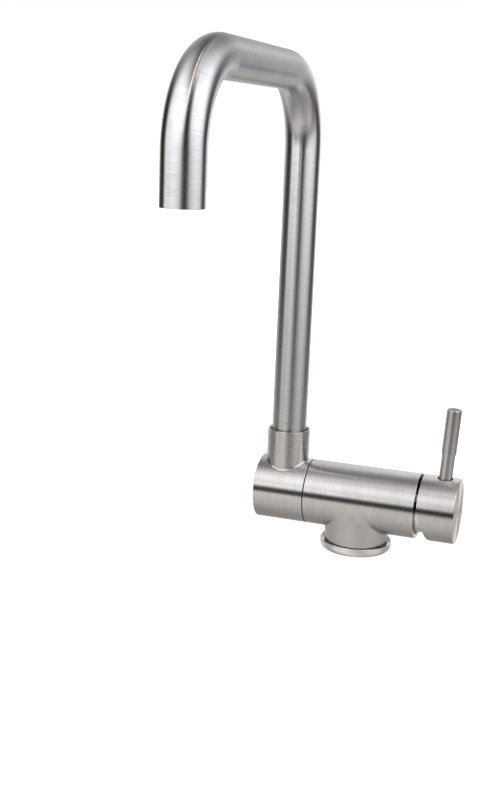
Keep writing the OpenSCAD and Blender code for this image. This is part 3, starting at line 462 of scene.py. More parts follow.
def drilled(skin, ways, at, depth, radius, edge_round, base_normal):
    """The rounded mouth and the wall of a hole. at(way, r) gives the place at a distance r from its axis, the way
    out from the axis and the way down the hole."""
    rows = []
    for way in ways:
        rim, out, down = at(way, radius + edge_round)
        row = []
        for b in even(0, math.pi / 2, 4):
            place = rim - out * edge_round * math.sin(b) + down * edge_round * (1 - math.cos(b))
            row.append((place, base_normal(rim) * math.cos(b) - out * math.sin(b), (0.0, way / TURN), 1.0))
        wall = rim - out * edge_round + down * edge_round
        end = wall + down * (depth - down.dot(wall - at(0.0, 0.0)[0]))
        row.append((wall, -out, (0.0, way / TURN), 0.0))
        row.append((end, -out, (depth, way / TURN), 0.0))
        rows.append(row)
    skin.grid(rows)


def holed_plate(skin, origin, right, up, facing, outer, holes, turns):
    """A flat round face of radius outer with round holes (right, up, radius), in metres."""
    rim = [(outer * math.cos(TURN * t), outer * math.sin(TURN * t)) for t in turns[:-1]]
    loops = [rim] + [[(x + r * math.cos(TURN * k / 32), y + r * math.sin(TURN * k / 32))
                      for k in range(32)] for x, y, r in holes]
    flat = [p for loop in loops for p in loop]
    for tri in tessellate_polygon([[Vector((x, y, 0)) for x, y in loop] for loop in loops]):
        skin.face([(origin + right * flat[i][0] + up * flat[i][1], facing, (flat[i][0], 0.0), 0.0) for i in tri])


def brushed_stainless(name, dark, pale, scratch, sweep, rough, stretch, depth, pits=(), dressed=()):
    """Stainless steel, AISI 304, brushed round its own axis: scratches scratch metres apart along the axis and
    sweep parts of a turn long. They blur reflections along the axis and keep them sharp round it. pits are places
    in metres, and dressed are lengths along the axis that were polished finer by hand."""
    made, tree = blank_material(name)
    places = add(tree, "TexCoord").outputs
    split = add(tree, "SeparateXYZ", {0: places["UV"]}).outputs
    angle = add(tree, "Math", {0: split["Y"], 1: TURN}, operation="MULTIPLY")
    cosine = add(tree, "Math", {0: angle}, operation="COSINE")
    sine = add(tree, "Math", {0: angle}, operation="SINE")
    wrapped = add(tree, "CombineXYZ", {0: split["X"], 1: cosine, 2: sine})
    fine = add(tree, "VectorMath", {0: wrapped, 1: (1 / scratch, sweep, sweep)}, operation="MULTIPLY")
    broad = add(tree, "VectorMath", {0: wrapped, 1: (0.13 / scratch, 0.7, 0.7)}, operation="MULTIPLY")
    grain = add(tree, "TexNoise", {"Vector": fine, "Scale": 1.0, "Detail": 1.5, "Roughness": 0.6})
    bands = add(tree, "TexNoise", {"Vector": broad, "Scale": 1.0, "Detail": 2.0, "Roughness": 0.5})
    # Soft stains left by hands and water, 15 to 30 mm across
    stains = add(tree, "TexNoise", {"Vector": places["Object"], "Scale": 45.0, "Detail": 3.0, "Roughness": 0.55})
    mixed = 0.0
    for pattern, share in ((grain, 0.55), (bands, 0.25), (stains, 0.20)):
        mixed = add(tree, "Math", {0: pattern, 1: share, 2: mixed}, operation="MULTIPLY_ADD")
    tone = add(tree, "MapRange", {0: mixed, 1: 0.32, 2: 0.68})
    colour = add(tree, "Mix", {0: tone, 6: linear(dark), 7: linear(pale)}, data_type="RGBA").outputs[2]
    # Small dark pits, 0.6 mm across
    pit = 0.0
    for spot in pits:
        away = add(tree, "VectorMath", {0: places["Object"], 1: spot}, operation="DISTANCE").outputs["Value"]
        pit = add(tree, "MapRange", {0: away, 1: 0.25 * MM, 2: 0.5 * MM, 3: 1.0, 4: pit})
    colour = add(tree, "Mix", {0: pit, 6: colour, 7: linear("4c4845")}, data_type="RGBA").outputs[2]
    # Marks above zero pale and smooth the steel: hand rubbing on edges, and painted highlights on the collar's fillet
    # and the cap's end face. Marks below zero are painted shade in the slot, the joint line, the lever's hole and
    # top, and on the neck
    worn_or_shaded = add(tree, "Attribute", attribute_name="wear_and_shade").outputs["Fac"]
    rubbed_and_sheen = add(tree, "MapRange", {0: worn_or_shaded, 1: 0.0, 2: 1.0})
    painted_shade = add(tree, "MapRange", {0: worn_or_shaded, 1: 0.0, 2: -1.0})
    paler = add(tree, "Math", {0: rubbed_and_sheen, 1: 0.5}, operation="MULTIPLY")
    colour = add(tree, "Mix", {0: paler, 6: colour, 7: linear("e6e3df")}, data_type="RGBA").outputs[2]
    # Painted shade: a near-black brown mixed in where the mark is below zero
    colour = add(tree, "Mix", {0: painted_shade, 6: colour, 7: linear("1c1a18")}, data_type="RGBA").outputs[2]
    gloss = add(tree, "MapRange", {0: mixed, 1: 0.3, 2: 0.7, 3: rough + 0.03, 4: rough - 0.03})
    gloss = add(tree, "Math", {0: rubbed_and_sheen, 1: -0.06, 2: gloss}, operation="MULTIPLY_ADD")
    for start, end in dressed:
        near = add(tree, "MapRange", {0: split["X"], 1: start - 8 * MM, 2: start + 12 * MM, 3: 0.0, 4: -0.07})
        far = add(tree, "MapRange", {0: split["X"], 1: end - 12 * MM, 2: end + 8 * MM, 3: 1.0, 4: 0.0})
        gloss = add(tree, "Math", {0: near, 1: far, 2: gloss}, operation="MULTIPLY_ADD")
    gloss = add(tree, "Mix", {0: painted_shade, 2: gloss, 3: 0.6})
    relief = add(tree, "Math", {0: pit, 1: -2.0, 2: grain}, operation="MULTIPLY_ADD")
    bump = add(tree, "Bump", {"Strength": 0.35, "Distance": depth, "Height": relief})
    across = add(tree, "Tangent", direction_type="UV_MAP", uv_map="turning")
    surface = add(tree, "BsdfPrincipled", {"Base Color": colour, "Metallic": 1.0, "Roughness": gloss,
                                           "Anisotropic": stretch, "Tangent": across, "Normal": bump})
    add(tree, "OutputMaterial", {"Surface": surface})
    return made


# Belt-brushed steel of barrel, knuckle and cap. Real scratches lie 0.05 to 0.1 mm apart, too fine for the
# picture, so they are drawn 0.5 mm apart.
barrel_pits = [(0.0321, -0.0192, 0.0253), (0.0120, 0.0198, 0.0268), (-0.0560, 0.0190, 0.0247)]
barrel_steel = brushed_stainless("stainless steel, brushed round the barrel", "c9c7c5", "dad7d5", 0.5 * MM, 2.2,
                                 0.27, 1.0, 0.0014 * MM, barrel_pits)
barrel_r, neck_r = 20.7 * MM, 20.3 * MM
body_left, body_right, edge = -31.6 * MM, 39.4 * MM, 0.5 * MM
around = even(0, 1, 120)
stop_x, stop_hole, hole_round = -22.4 * MM, 2.55 * MM, 0.25 * MM
body = Skin()


def neck_ball(way):
    """The fillet's radius: sharp at the neck's sides, and ground to a wide blend at its front and back."""
    wide = (30 if math.sin(way) < 0 else 7) * MM
    return 1.1 * MM + wide * abs(math.sin(way)) ** 18


def neck_edge_at(way):
    """The station and turn where the fillet starts. The other functions of this kind give a hole's edge."""
    _, touch, _ = saddle(way, neck_r, neck_ball(way), barrel_r, -1)
    return touch.x, 0.5 + math.asin(touch.y / barrel_r) / TURN


def stop_hole_at(way, r):
    """The body's back at a distance r from the stop screw's axis, the way out of the hole and the way down it."""
    x, z = r * math.cos(way), -r * math.sin(way)
    out = Vector((math.cos(way), 0, -math.sin(way)))
    place = AXIS + Vector((stop_x + x, math.sqrt(barrel_r ** 2 - z * z), z))
    return place, out, -Y


def stop_edge_at(way):
    place, _, _ = stop_hole_at(way, stop_hole + hole_round)
    return place.x, 0.75 - math.asin((place.z - AXIS.z) / barrel_r) / TURN


body_stations = (even(body_left + edge, -27 * MM, 3) + even(-27 * MM, -18 * MM, 5)[1:]
                 + even(-18 * MM, 24 * MM, 24)[1:] + even(24 * MM, body_right - edge, 8)[1:])
first = body_stations.index(-27 * MM)
neck_window = (first, 34, 30, 87, (0.0, 0.5), neck_edge_at)
stop_window = (first, first + 5, 87, 93, (stop_x, 0.75), stop_edge_at)
neck_ways, stop_ways = pierced(body, on_barrel, body_stations, around, [neck_window, stop_window])
# The neck's lowest 0.6 mm is its rounded end, made on its own below
neck_bottom = (3 + 0.6 - 32.9) * MM
# The neck's scratches run up and down, on from those of the barrel, because the belt crosses both in one stroke
# The neck's wall gets a mark of -0.09, a light painted shade that darkens it
body.grid(saddle_rows(neck_ways, lambda w: w, 0, neck_r, neck_ball, barrel_r, -1, neck_bottom, 8, 0.0, -0.09,
                      lambda z, w: (neck_r * (w + math.pi / 2), 0.25 - z / (TURN * barrel_r))))
neck_turns = [w / TURN for w in neck_ways]
turn(body, outline([(3.6, 20.3, 0), (3, 20.3, 0.5), (3, 19, 0)]), Vector(), Z, X, neck_turns)
drilled(body, stop_ways, stop_hole_at, 6 * MM, stop_hole, hole_round, barrel_normal)


def ramped(value, none, full):
    """0 to 1 while a value goes from none to full."""
    return min(1.0, max(0.0, (value - none) / (full - none)))


def groove_painted_shade(station, radius, t):
    """Painted shade in the joint line between knuckle and body, up to just under their outsides."""
    return ramped(radius, 20.66, 20.56) if radius > 18 else 0.0


def slot_painted_shade(station, radius, t):
    """Painted shade in the narrow slot between body and cap. There is none where the cap's slanted cut opens the
    slot, and it is weaker over a short stretch at the front."""
    narrow = ramped(math.cos(TURN * t), -0.1, 0.2)
    wiped = ramped(abs(t - 0.153), 0.031, 0.019)
    return narrow * (1 - 0.75 * wiped) * ramped(radius, 20.69, 20.59) * ramped(station, 43.0, 41.5)


# Ends of the barrel, with the pivot's bore at the left and the cartridge's chamber at the right
turn(body, outline([(-8, 13, 0), (-25.6, 13, 0), (-25.6, 14.2, 0), (-31.6, 14.2, 0.15), (-31.6, 20.7, 0.45),
                    (-31.1, 20.7, 0)]), AXIS, X, Z, around, groove_painted_shade)
turn(body, outline([(38.9, 20.7, 0), (39.4, 20.7, 0.25), (39.4, 18.5, 0.1), (38.9, 18, 0), (30, 18, 0),
                    (30, 17.55, 0), (8, 17.55, 0)]), AXIS, X, Z, around, slot_painted_shade)
ports = [(6, 4.5, 2.4), (-6, 4.5, 2.4), (0, -4.5, 2.9)]
pins = [(11, -3, 1.55), (-11, -3, 1.55)]
holed_plate(body, AXIS - X * 8 * MM, Z, -Y, -X, 13 * MM, [(-4.5 * MM, 0, 2.9 * MM)], around)
holed_plate(body, AXIS + X * 8 * MM, Z, -Y, X, 17.55 * MM,
            [(z * MM, -y * MM, r * MM) for y, z, r in ports + pins], around)
coarse = even(0, 1, 32)
for y, z, r in ports + pins:
    deep = -8 if y == 0 else (1 if (y, z, r) in ports else 6.3)
    shut = [] if y == 0 else [(deep, 0.01, 0)]
    turn(body, outline([(8, r, 0), (deep, r, 0)] + shut), Vector((0, y * MM, AXIS.z + z * MM)), X, Z, coarse)
# Underside, with the two sockets for the hoses and the one for the stud. Their threads are drawn as rings.
sockets = [(0, 8.5, 4.5, 12, 1.0), (0, -8.5, 4.5, 12, 1.0), (-10.5, 0, 3.4, 13, 1.25)]
holed_plate(body, Z * 3 * MM, X, Y, -Z, 19 * MM, [(x * MM, y * MM, (r + 0.5) * MM) for x, y, r, _, _ in sockets],
            neck_turns)
for x, y, r, deep, pitch in sockets:
    wall = [(3, r + 0.5, 0), (3.5, r, 0)]
    for k in range(int((deep - 2.5) / pitch)):
        z = 3.6 + k * pitch
        wall += [(z + pitch * 0.10, r, 0), (z + pitch * 0.5, r + pitch * 0.42, 0), (z + pitch * 0.9, r, 0)]
    wall += [(3 + deep, r, 0), (3 + deep, 2.5 if r > 4 else 0.01, 0)]
    if r > 4:
        wall += [(3 + deep, 3, 0), (3 + deep + 8, 3, 0)]
    for a, b in zip(wall, wall[1:]):
        if a != b and b != (3 + deep, 3, 0):
            turn(body, outline([(b[0], b[1], 0), (a[0], a[1], 0)]), Vector((x * MM, y * MM, 0)), Z, X, coarse)
body.make("body_casting", barrel_steel, "barrel_steel", "tap_body", "body")

# Base ring: a dished ring turned from stainless bar. The neck stands in it, and
# its rim is left a little proud, with a thin bright land on top.
ring_steel = brushed_stainless("stainless steel, fine turned", "ececec", "f6f6f6", 0.4 * MM, 2.2, 0.27, 0.75,
                               0.003 * MM)
ring = Skin()
# Its outside is dished to an arc of radius flare about the point (flare_z, flare_r)
flare, flare_z, flare_r = 3.5, 3, 19.5
arc = [(flare_z - flare * math.cos(math.radians(a)), flare_r + flare * math.sin(math.radians(a)), 0)
       for a in range(37, 91, 6)]
foot = flare_r + math.sqrt(flare ** 2 - flare_z ** 2)
ring_walk = [(0, 18.85, 0), (0, foot, 0.2)] + arc + [
    (5.4, 23, 0.22), (5.4, 22.1, 0.45), (3, 22.1, 0.5), (3, 14.8, 0.2), (0, 14.8, 0.2), (0, 16.35, 0), (1.5, 16.4, 0),
    (1.5, 18.8, 0), (0, 18.85, 0)]
turn(ring, outline(ring_walk[::-1]), Vector(), Z, X, even(0, 1, 144))
# The bore is a little oval, so that the neck stands nearer to the rim at its front and back
for place in ring.places:
    if place.z > 2 * MM and place.xy.length < 22.7 * MM:
        place.y *= 0.963
ring.make("dished_base_ring", ring_steel, "ring_steel", "tap_body", "base_ring")


# Gasket under the ring: EPDM rubber, moulded, matt black with a fine tooth from the mould.
def carried(nodes, material):
    """Gives the CAD pieces of these nodes a material."""
    for name in nodes:
        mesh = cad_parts[name].data
        mesh.materials.clear()
        mesh.materials.append(material)


rubber, tree = blank_material("EPDM rubber, moulded")
place = add(tree, "TexCoord").outputs["Object"]
tooth = add(tree, "TexNoise", {"Vector": place, "Scale": 2500.0, "Detail": 4.0})
bloom = add(tree, "TexNoise", {"Vector": place, "Scale": 180.0, "Detail": 3.0})
tone = add(tree, "Mix", {0: bloom, 6: linear("1d1d1e"), 7: linear("343332")}, data_type="RGBA").outputs[2]
dull = add(tree, "MapRange", {0: bloom, 1: 0.3, 2: 0.7, 3: 0.55, 4: 0.75})
bump = add(tree, "Bump", {"Strength": 0.3, "Distance": 0.02 * MM, "Height": tooth})
surface = add(tree, "BsdfPrincipled", {"Base Color": tone, "Roughness": dull, "IOR": 1.52, "Normal": bump})
add(tree, "OutputMaterial", {"Surface": surface})
carried(["base_gasket", "pivot_o_rings", "spout_o_rings", "port_seals", "rotor_o_ring", "aerator_washer"], rubber)


# Pivot: a hollow brass shaft that turns in the body on a plastic sleeve, with a
# thin dark washer that shows as the joint line.
def moulded(name, deep, pale, low, high, grit):
    """A moulded or turned engineering plastic: even colour with faint flow marks and a satin skin."""
    made, tree = blank_material(name)
    place = add(tree, "TexCoord").outputs["Object"]
    flow = add(tree, "TexNoise", {"Vector": place, "Scale": 120.0, "Detail": 3.0, "Distortion": 0.6})
    skin = add(tree, "TexNoise", {"Vector": place, "Scale": grit, "Detail": 3.0})
    tone = add(tree, "Mix", {0: flow, 6: linear(deep), 7: linear(pale)}, data_type="RGBA").outputs[2]
    dull = add(tree, "MapRange", {0: flow, 1: 0.3, 2: 0.7, 3: low, 4: high})
    bump = add(tree, "Bump", {"Strength": 0.2, "Distance": 0.01 * MM, "Height": skin})
    surface = add(tree, "BsdfPrincipled", {"Base Color": tone, "Roughness": dull, "IOR": 1.48, "Normal": bump})
    add(tree, "OutputMaterial", {"Surface": surface})
    return made


def machined(name, dark, pale, rough, along):
    """A metal turned on a lathe, for inner pieces: fine rings 0.3 mm apart along the work's axis."""
    made, tree = blank_material(name)
    place = add(tree, "TexCoord").outputs["Object"]
    rings = add(tree, "VectorMath", {0: place, 1: along}, operation="MULTIPLY")
    cut = add(tree, "TexNoise", {"Vector": rings, "Scale": 1.0, "Detail": 2.0})
    cloud = add(tree, "TexNoise", {"Vector": place, "Scale": 90.0, "Detail": 3.0})
    tone = add(tree, "Math", {0: cloud, 1: 0.4}, operation="MULTIPLY")
    tone = add(tree, "Math", {0: cut, 1: 0.6, 2: tone}, operation="MULTIPLY_ADD")
    tint = add(tree, "Mix", {0: tone, 6: linear(dark), 7: linear(pale)}, data_type="RGBA").outputs[2]
    gloss = add(tree, "MapRange", {0: tone, 1: 0.3, 2: 0.7, 3: rough + 0.06, 4: rough - 0.06})
    bump = add(tree, "Bump", {"Strength": 0.3, "Distance": 0.01 * MM, "Height": cut})
    surface = add(tree, "BsdfPrincipled", {"Base Color": tint, "Metallic": 1.0, "Roughness": gloss, "Normal": bump})
    add(tree, "OutputMaterial", {"Surface": surface})
    return made


along_x, along_z = (3300.0, 60.0, 60.0), (60.0, 60.0, 3300.0)
brass_x = machined("brass CW617N, turned along the barrel", "b08a48", "d9b671", 0.28, along_x)
brass_z = machined("brass CW617N, turned along the riser", "b08a48", "d9b671", 0.28, along_z)
acetal_white = moulded("acetal, natural white, moulded", "dcd9cf", "efece4", 0.34, 0.46, 900.0)
acetal_black = moulded("acetal, black, turned", "101012", "1e1e20", 0.36, 0.5, 1500.0)
dark_screw = machined("alloy steel set screw, black oxide", "2b2c2e", "4a4a4c", 0.38, (60.0, 3300.0, 60.0))
carried(["pivot_spigot"], brass_x)
carried(["pivot_bush"], acetal_white)
carried(["pivot_washer"], acetal_black)
carried(["fold_stop_screw", "spout_set_screw", "handle_screw"], dark_screw)

# Knuckle: a short barrel with an upright collar, cast in one and brushed like
# the body. A small fillet follows the saddle line where the collar leaves it.
knuckle = Skin()
knuckle_left, knuckle_right, riser_x = -65.0 * MM, -32.0 * MM, -48.5 * MM
collar_r, collar_ball, collar_top = 13.6 * MM, 1.2 * MM, 40.4 * MM
screw_rise, screw_hole = 27.2 * MM, 2.05 * MM
half_round = even(-0.5, 0.5, 120)


def collar_edge_at(way):
    _, touch, _ = saddle(-way, collar_r, collar_ball, barrel_r, 1)
    return riser_x + touch.x, -math.asin(touch.y / barrel_r) / TURN


knuckle_stations = even(knuckle_left + edge, knuckle_right - edge, 24)
collar_window = (0, 24, 43, 77, (riser_x, 0.0), collar_edge_at)
collar_ways, = pierced(knuckle, on_barrel, knuckle_stations, half_round, [collar_window])
collar_low = 22.5 * MM
# The collar's fillet gets a mark of 0.8, a painted highlight along the saddle line
knuckle.grid(saddle_rows(collar_ways, lambda w: -w, riser_x, collar_r, lambda w: collar_ball, barrel_r, 1,
                         collar_low, 4, 0.8, 0.0, lambda z, w: (z, w / TURN)))
collar_turns = sorted(-w / TURN for w in collar_ways)


def on_collar(height, t):
    """A corner on the collar, at a height above the barrel's axis and a part of a turn from the right."""
    out = X * math.cos(TURN * t) + Y * math.sin(TURN * t)
    return (AXIS + X * riser_x + out * collar_r + Z * height, out, (height, t), 0.0)


def set_hole_at(way, r):
    """The collar's back at a distance r from the set screw's axis."""
    x, z = -r * math.sin(way), r * math.cos(way)
    out = Vector((-math.sin(way), 0, math.cos(way)))
    place = AXIS + Vector((riser_x + x, math.sqrt(collar_r ** 2 - x * x), screw_rise + z))
    return place, out, -Y


def set_edge_at(way):
    place, _, _ = set_hole_at(way, screw_hole + hole_round)
    return place.z - AXIS.z, 0.25 - math.asin((place.x - riser_x) / collar_r) / TURN


set_low, set_high = 24 * MM, 31 * MM
knuckle.grid([[on_collar(height, t) for t in collar_turns] for height in (collar_low, set_low)])
upright = even(0, 1, 96)
heights = even(set_low, set_high, 6) + even(set_high, collar_top - 0.3 * MM, 5)[1:]
set_window = (0, 6, 19, 29, (screw_rise, 0.25), set_edge_at)
set_ways, = pierced(knuckle, on_collar, heights, upright, [set_window])
drilled(knuckle, set_ways, set_hole_at, 2 * MM, screw_hole, hole_round,
        lambda place: Vector((place.x - riser_x, place.y, 0)).normalized())
# Mouth of the collar and the stepped bore for the spout's foot
turn(knuckle, outline([(40.1, 13.6, 0), (40.4, 13.6, 0.25), (40.4, 12.8, 0.12), (39.9, 12.3, 0), (33.2, 12.3, 0),
                       (33.2, 11.25, 0), (13.2, 11.25, 0), (13.2, 8.5, 0), (7, 8.5, 0)]),
     AXIS + X * riser_x, Z, X, upright)
# Ends of the short barrel: flat and blind at the left, bored for the shaft at the right
turn(knuckle, outline([(-65, 0.01, 0), (-65, 20.7, 0.45), (-64.5, 20.7, 0)]), AXIS, X, Z, half_round)
turn(knuckle, outline([(-32.5, 20.7, 0), (-32, 20.7, 0.45), (-32, 12.05, 0.2), (-46, 12.05, 0), (-46, 9, 0),
                       (-57, 9, 0), (-57, 0.01, 0)]), AXIS, X, Z, half_round, groove_painted_shade)
knuckle.make("fold_knuckle_casting", barrel_steel, "barrel_steel", "fold_knuckle", "knuckle")
carried(["glide_ring"], acetal_black)

# Spout: 22 mm stainless tube with a 1.2 mm wall, bent cold over a former in two
# bends, cut square and brushed round the tube.
tube_pits = [(-0.0476, -0.0110, 0.0787), (-0.0420, 0.0089, 0.1700)]
dressed_bends = [(185 * MM, 256 * MM), (358 * MM, 429 * MM)]
tube_steel = brushed_stainless("stainless steel tube, brushed round", "c5c5c6", "d7d7d8", 0.45 * MM, 1.6, 0.26, 1.0,
                               0.0015 * MM, tube_pits, dressed_bends)
spout = Skin()
tube_r, tube_bore, bend_r = 11 * MM, 9.8 * MM, 44.9 * MM
# The photograph shows the outlet 0.7 mm lower than the solid has it
foot_z, bend_z, arm_z, outlet_z, leg_y = 64.1 * MM, 249.7 * MM, 294.6 * MM, 223.9 * MM, -192.2 * MM
cut_round = 0.15 * MM


def bent(middle, start, end):
    """Places and directions round a bend, from start to end degrees, with its middle at this y."""
    return [(Vector((middle + bend_r * math.cos(a), bend_z + bend_r * math.sin(a))),
             Vector((-math.sin(a), math.cos(a)))) for a in map(math.radians, even(start, end, 36)[1:])]


path = [(Vector((0, z)), Vector((0, 1))) for z in even(foot_z + cut_round, bend_z, 24)]
path += bent(-bend_r, 0, 90)
path += [(Vector((y, arm_z)), Vector((-1, 0))) for y in even(-bend_r, leg_y + bend_r, 14)[1:]]
path += bent(leg_y + bend_r, 90, 180)
path += [(Vector((leg_y, z)), Vector((0, -1))) for z in even(bend_z, outlet_z + cut_round, 6)[1:]]
for radius, facing in ((tube_r, 1), (tube_bore, -1)):
    rows, length = [], 0.0
    for i, (spot, way) in enumerate(path):
        if i:
            length += (spot - path[i - 1][0]).length
        over = Vector((0, way.y, -way.x))
        row = []
        for t in upright:
            out = X * math.cos(TURN * t) + over * math.sin(TURN * t)
            row.append((Vector((riser_x, spot.x, spot.y)) + out * radius, out * facing, (length, t), 0.0))
        rows.append(row)
    spout.grid(rows)
for y, z in ((0, foot_z), (leg_y, outlet_z)):
    turn(spout, outline([(-0.15, 11, 0), (0, 11, 0.14), (0, 9.8, 0.12), (-0.15, 9.8, 0)]), Vector((riser_x, y, z)),
         -Z, X, upright)
spout.make("bent_spout_tube", tube_steel, "tube_steel", "spout", "spout_tube")
carried(["spout_bush"], brass_z)

# Aerator in the outlet: a steel ring with a moulded jet former.
carried(["aerator_sleeve"], machined("stainless steel, turned", "8d8a86", "b3b0ac", 0.3, along_z))
carried(["aerator_insert"], moulded("acetal, grey-white, moulded jet former", "c9c8c4", "dddcd8", 0.36, 0.48, 900.0))

# Cartridge: ceramic discs between moulded plastic parts, clamped by a brass nut.
# It shows only where the cap is lifted or the tap is taken apart.
ceramic, tree = blank_material("alumina ceramic, lapped")
place = add(tree, "TexCoord").outputs["Object"]
crystal = add(tree, "TexNoise", {"Vector": place, "Scale": 1800.0, "Detail": 4.0})
tone = add(tree, "Mix", {0: crystal, 6: linear("e7e2d6"), 7: linear("f3efe6")}, data_type="RGBA").outputs[2]
gloss = add(tree, "MapRange", {0: crystal, 1: 0.3, 2: 0.7, 3: 0.10, 4: 0.2})
surface = add(tree, "BsdfPrincipled", {"Base Color": tone, "Roughness": gloss, "IOR": 1.76})
add(tree, "OutputMaterial", {"Surface": surface})
carried(["fixed_disc", "moving_disc"], ceramic)
carried(["cartridge_base", "cartridge_housing"], acetal_white)
carried(["disc_carrier", "stem_carrier"], moulded("glass-filled nylon, blue", "1f4a7c", "2d5f97", 0.38, 0.5, 1100.0))
carried(["stem", "cartridge_nut"], brass_x)
carried(["stem_pin"], machined("stainless steel pin, ground", "97948f", "bab7b2", 0.24, (60.0, 3300.0, 60.0)))

# Dome ring: a thin steel shroud pressed over the nut's nose. It closes the gap
# between body and cap, and shows in the cap's slanted cut.
dome = Skin()
# Its surfaces inside the narrow slot are darkened with painted shade
turn(dome, outline([(42.2, 14.65, 0), (37, 14.65, 0), (37, 16.25, 0.2), (41.4, 16.25, 0), (42.9, 16.25, 0),
                    (44.4, 16.25, 0.8), (46.2, 13.5, 0.4), (46.2, 10, 0.2), (44.4, 10, 0), (44.4, 14.65, 0),
                    (42.2, 14.65, 0)]), AXIS, X, Z, around, slot_painted_shade)
dome.make("cartridge_shroud", ring_steel, "ring_steel", "tap_body", "dome_ring")

# Handle cap: a turned cup with a hub inside, its lower rim milled on a slant so
# that it clears the body when the lever is tipped outwards.
cap = Skin()
cap_left, cap_right, bore_r, rim_round = 40.9 * MM, 64.2 * MM, 18.7 * MM, 0.35 * MM
cut_slope, cut_start = math.tan(math.radians(17)), 4 * MM
lever_x, lean, mouth_r = 53.7 * MM, math.radians(2.75), 5.2 * MM
lean_way = Vector((math.sin(lean), 0, math.cos(lean)))
lean_right = Vector((math.cos(lean), 0, -math.sin(lean)))
screw_x, screw_bore = 56.7 * MM, 2.55 * MM


def cap_rim(radius, t):
    """Where the cap starts, at this radius and part of a turn: straight, then back along the slanted cut."""
    return cap_left + max(0.0, cut_start - radius * math.cos(TURN * t)) * cut_slope


def on_cap(share, t):
    """The cap's outside: share 0 at the rim's rounding and 1 at the end's rounding."""
    start = cap_rim(barrel_r, t) + rim_round
    return on_barrel(start + (cap_right - edge - start) * share, t)


def share_of(station, t):
    """The share at a station on the cap's outside."""
    start = cap_rim(barrel_r, t) + rim_round
    return (station - start) / (cap_right - edge - start)


def lever_hole_at(way, r):
    """The cap's top at a distance r from the lever's axis."""
    y = r * math.sin(way)
    up = math.sqrt(barrel_r ** 2 - y * y)
    run = (up + r * math.cos(way) * math.sin(lean)) / math.cos(lean)
    out = lean_right * math.cos(way) - Y * math.sin(way)
    return AXIS + X * lever_x + lean_way * run + lean_right * r * math.cos(way) - Y * y, out, -lean_way


def lever_edge_at(way):
    place, _, _ = lever_hole_at(way, mouth_r)
    t = -math.asin(place.y / barrel_r) / TURN
    return share_of(place.x, t), t


def screw_hole_at(way, r):
    """The cap's bottom at a distance r from the clamp screw's axis."""
    y = -r * math.sin(way)
    out = Vector((math.cos(way), math.sin(way), 0))
    return (AXIS + Vector((screw_x + r * math.cos(way), r * math.sin(way), -math.sqrt(barrel_r ** 2 - y * y))),
            out, Z)


def screw_edge_at(way):
    place, _, _ = screw_hole_at(way, screw_bore + hole_round)
    t = 0.5 + math.asin(place.y / barrel_r) / TURN
    return share_of(place.x, t), t


quarter_round = even(-0.25, 0.75, 120)
shares = even(0, 1, 24)
lever_window = (3, 23, 23, 37, (share_of(lever_x + barrel_r * math.tan(lean), 0.0), 0.0), lever_edge_at)
screw_window = (6, 20, 85, 95, (share_of(screw_x, 0.5), 0.5), screw_edge_at)
lever_ways, screw_ways = pierced(cap, on_cap, shares, quarter_round, [lever_window, screw_window])
drilled(cap, screw_ways, screw_hole_at, 2.2 * MM, screw_bore, hole_round, barrel_normal)
# Mouth of the lever's hole: a shallow countersink, then the drilled wall. The countersink's slope and the wall are
# darkened with painted shade
rows = []
for way in lever_ways:
    rim, out, down = lever_hole_at(way, mouth_r)
    normal = barrel_normal(rim)
    sink, tilted = rim - out * 0.18 * MM + down * 0.12 * MM, (normal - out * 0.5).normalized()
    low, slope = rim - out * 0.6 * MM + down * 1.0 * MM, (-down * 0.5 - out).normalized()
    deep = low + down * 2.4 * MM
    rows.append([(place, facing, (run * MM, way / TURN), wear_and_shade) for place, facing, run, wear_and_shade in (
        (rim, normal, 0, 1.0), (sink, tilted, 0.2, 1.0), (sink, slope, 0.2, -0.5), (low, slope, 1.2, -1.0),
        (low, -out, 1.2, -1.0), (deep, -out, 3.6, -1.0))])
cap.grid(rows)
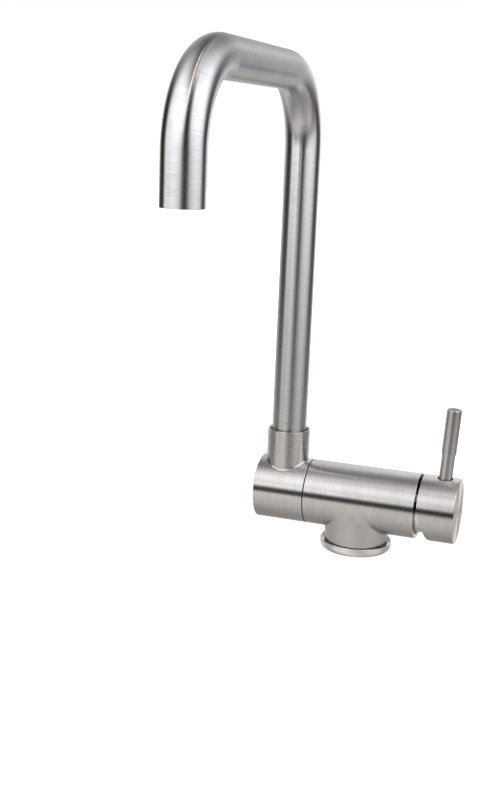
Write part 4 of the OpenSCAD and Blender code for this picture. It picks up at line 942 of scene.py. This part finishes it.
# Rim: outer rounding, the land along the cut, inner rounding, and the bore back to the end wall
columns, hub_end = [], 61.7 * MM
for t in quarter_round:
    out = outward(t)
    outer, inner = cap_rim(barrel_r, t), cap_rim(bore_r, t)
    # On top the painted shade reaches out over the rounding, by up to 0.09 mm
    spread = 0.09 * ramped(abs(t), 0.125, 0.105)
    column = []
    for b in even(0, math.pi / 2, 5):
        station = outer + rim_round - rim_round * math.sin(b)
        radius = barrel_r - rim_round + rim_round * math.cos(b)
        column.append((AXIS + X * station + out * radius, out * math.cos(b) - X * math.sin(b), (outer, t),
                       1.0 - 2.0 * slot_painted_shade(cap_left / MM, radius / MM - spread, t)))
    # The land along the cut carries the slot's painted shade
    painted_darkening = -slot_painted_shade(cap_left / MM, 18, t)
    column.append((column[-1][0], -X, (outer, t), painted_darkening))
    column.append((AXIS + X * inner + out * (bore_r + rim_round), -X, (outer + 1.4 * MM, t), painted_darkening))
    for b in even(0, math.pi / 2, 3):
        station = inner + rim_round - rim_round * math.cos(b)
        radius = bore_r + rim_round - rim_round * math.sin(b)
        column.append((AXIS + X * station + out * radius, -X * math.cos(b) - out * math.sin(b),
                       (outer + 1.6 * MM, t), 0.6))
    column.append((column[-1][0], -out, (inner, t), 0.0))
    column.append((AXIS + X * hub_end + out * bore_r, -out, (hub_end, t), 0.0))
    columns.append(column)
cap.grid(list(zip(*columns)))
turn(cap, outline([(61.7, 18.7, 0), (61.7, 8, 0.6), (50.5, 8, 0.2), (50.5, 4.9, 0), (60.7, 4.9, 0),
                   (60.7, 0.01, 0)]), AXIS, X, Z, quarter_round)
# The end face is painted paler, as painted light, and made a little glossier
turn(cap, outline([(63.7, 20.7, 0), (64.2, 20.7, 0.45), (64.2, 0.01, 0)]), AXIS, X, Z, quarter_round,
     lambda s, r, t: -0.35 if s > 64.19 else 0)
cap.make("lever_cap", barrel_steel, "barrel_steel", "handle", "handle_cap")

# Lever: a stepped pin turned from 10 mm stainless bar, screwed into the hub. It
# is thicker above the step, where the fingers hold it.
lever = Skin()
lever_steel = brushed_stainless("stainless steel bar, turned and brushed", "c6c4c1", "cfcdcb", 0.8 * MM, 0.6, 0.24,
                                0.9, 0.001 * MM)
# Its flat top is darkened with painted shade, and made a little rougher
turn(lever, outline([(4.5, 0.01, 0), (4.5, 2.45, 0), (8.2, 2.45, 0), (8.2, 4.15, 0.3), (36.4, 4.15, 0.15),
                     (36.4, 4.65, 0.2), (64.9, 4.65, 0.45), (64.9, 0.01, 0)]), AXIS + X * lever_x, lean_way,
     lean_right, even(0, 1, 72), lambda s, r, t: 0.48 if s > 64.8 and r < 4.3 else 0)
lever.make("stepped_lever", lever_steel, "tube_steel", "handle", "lever_pin")
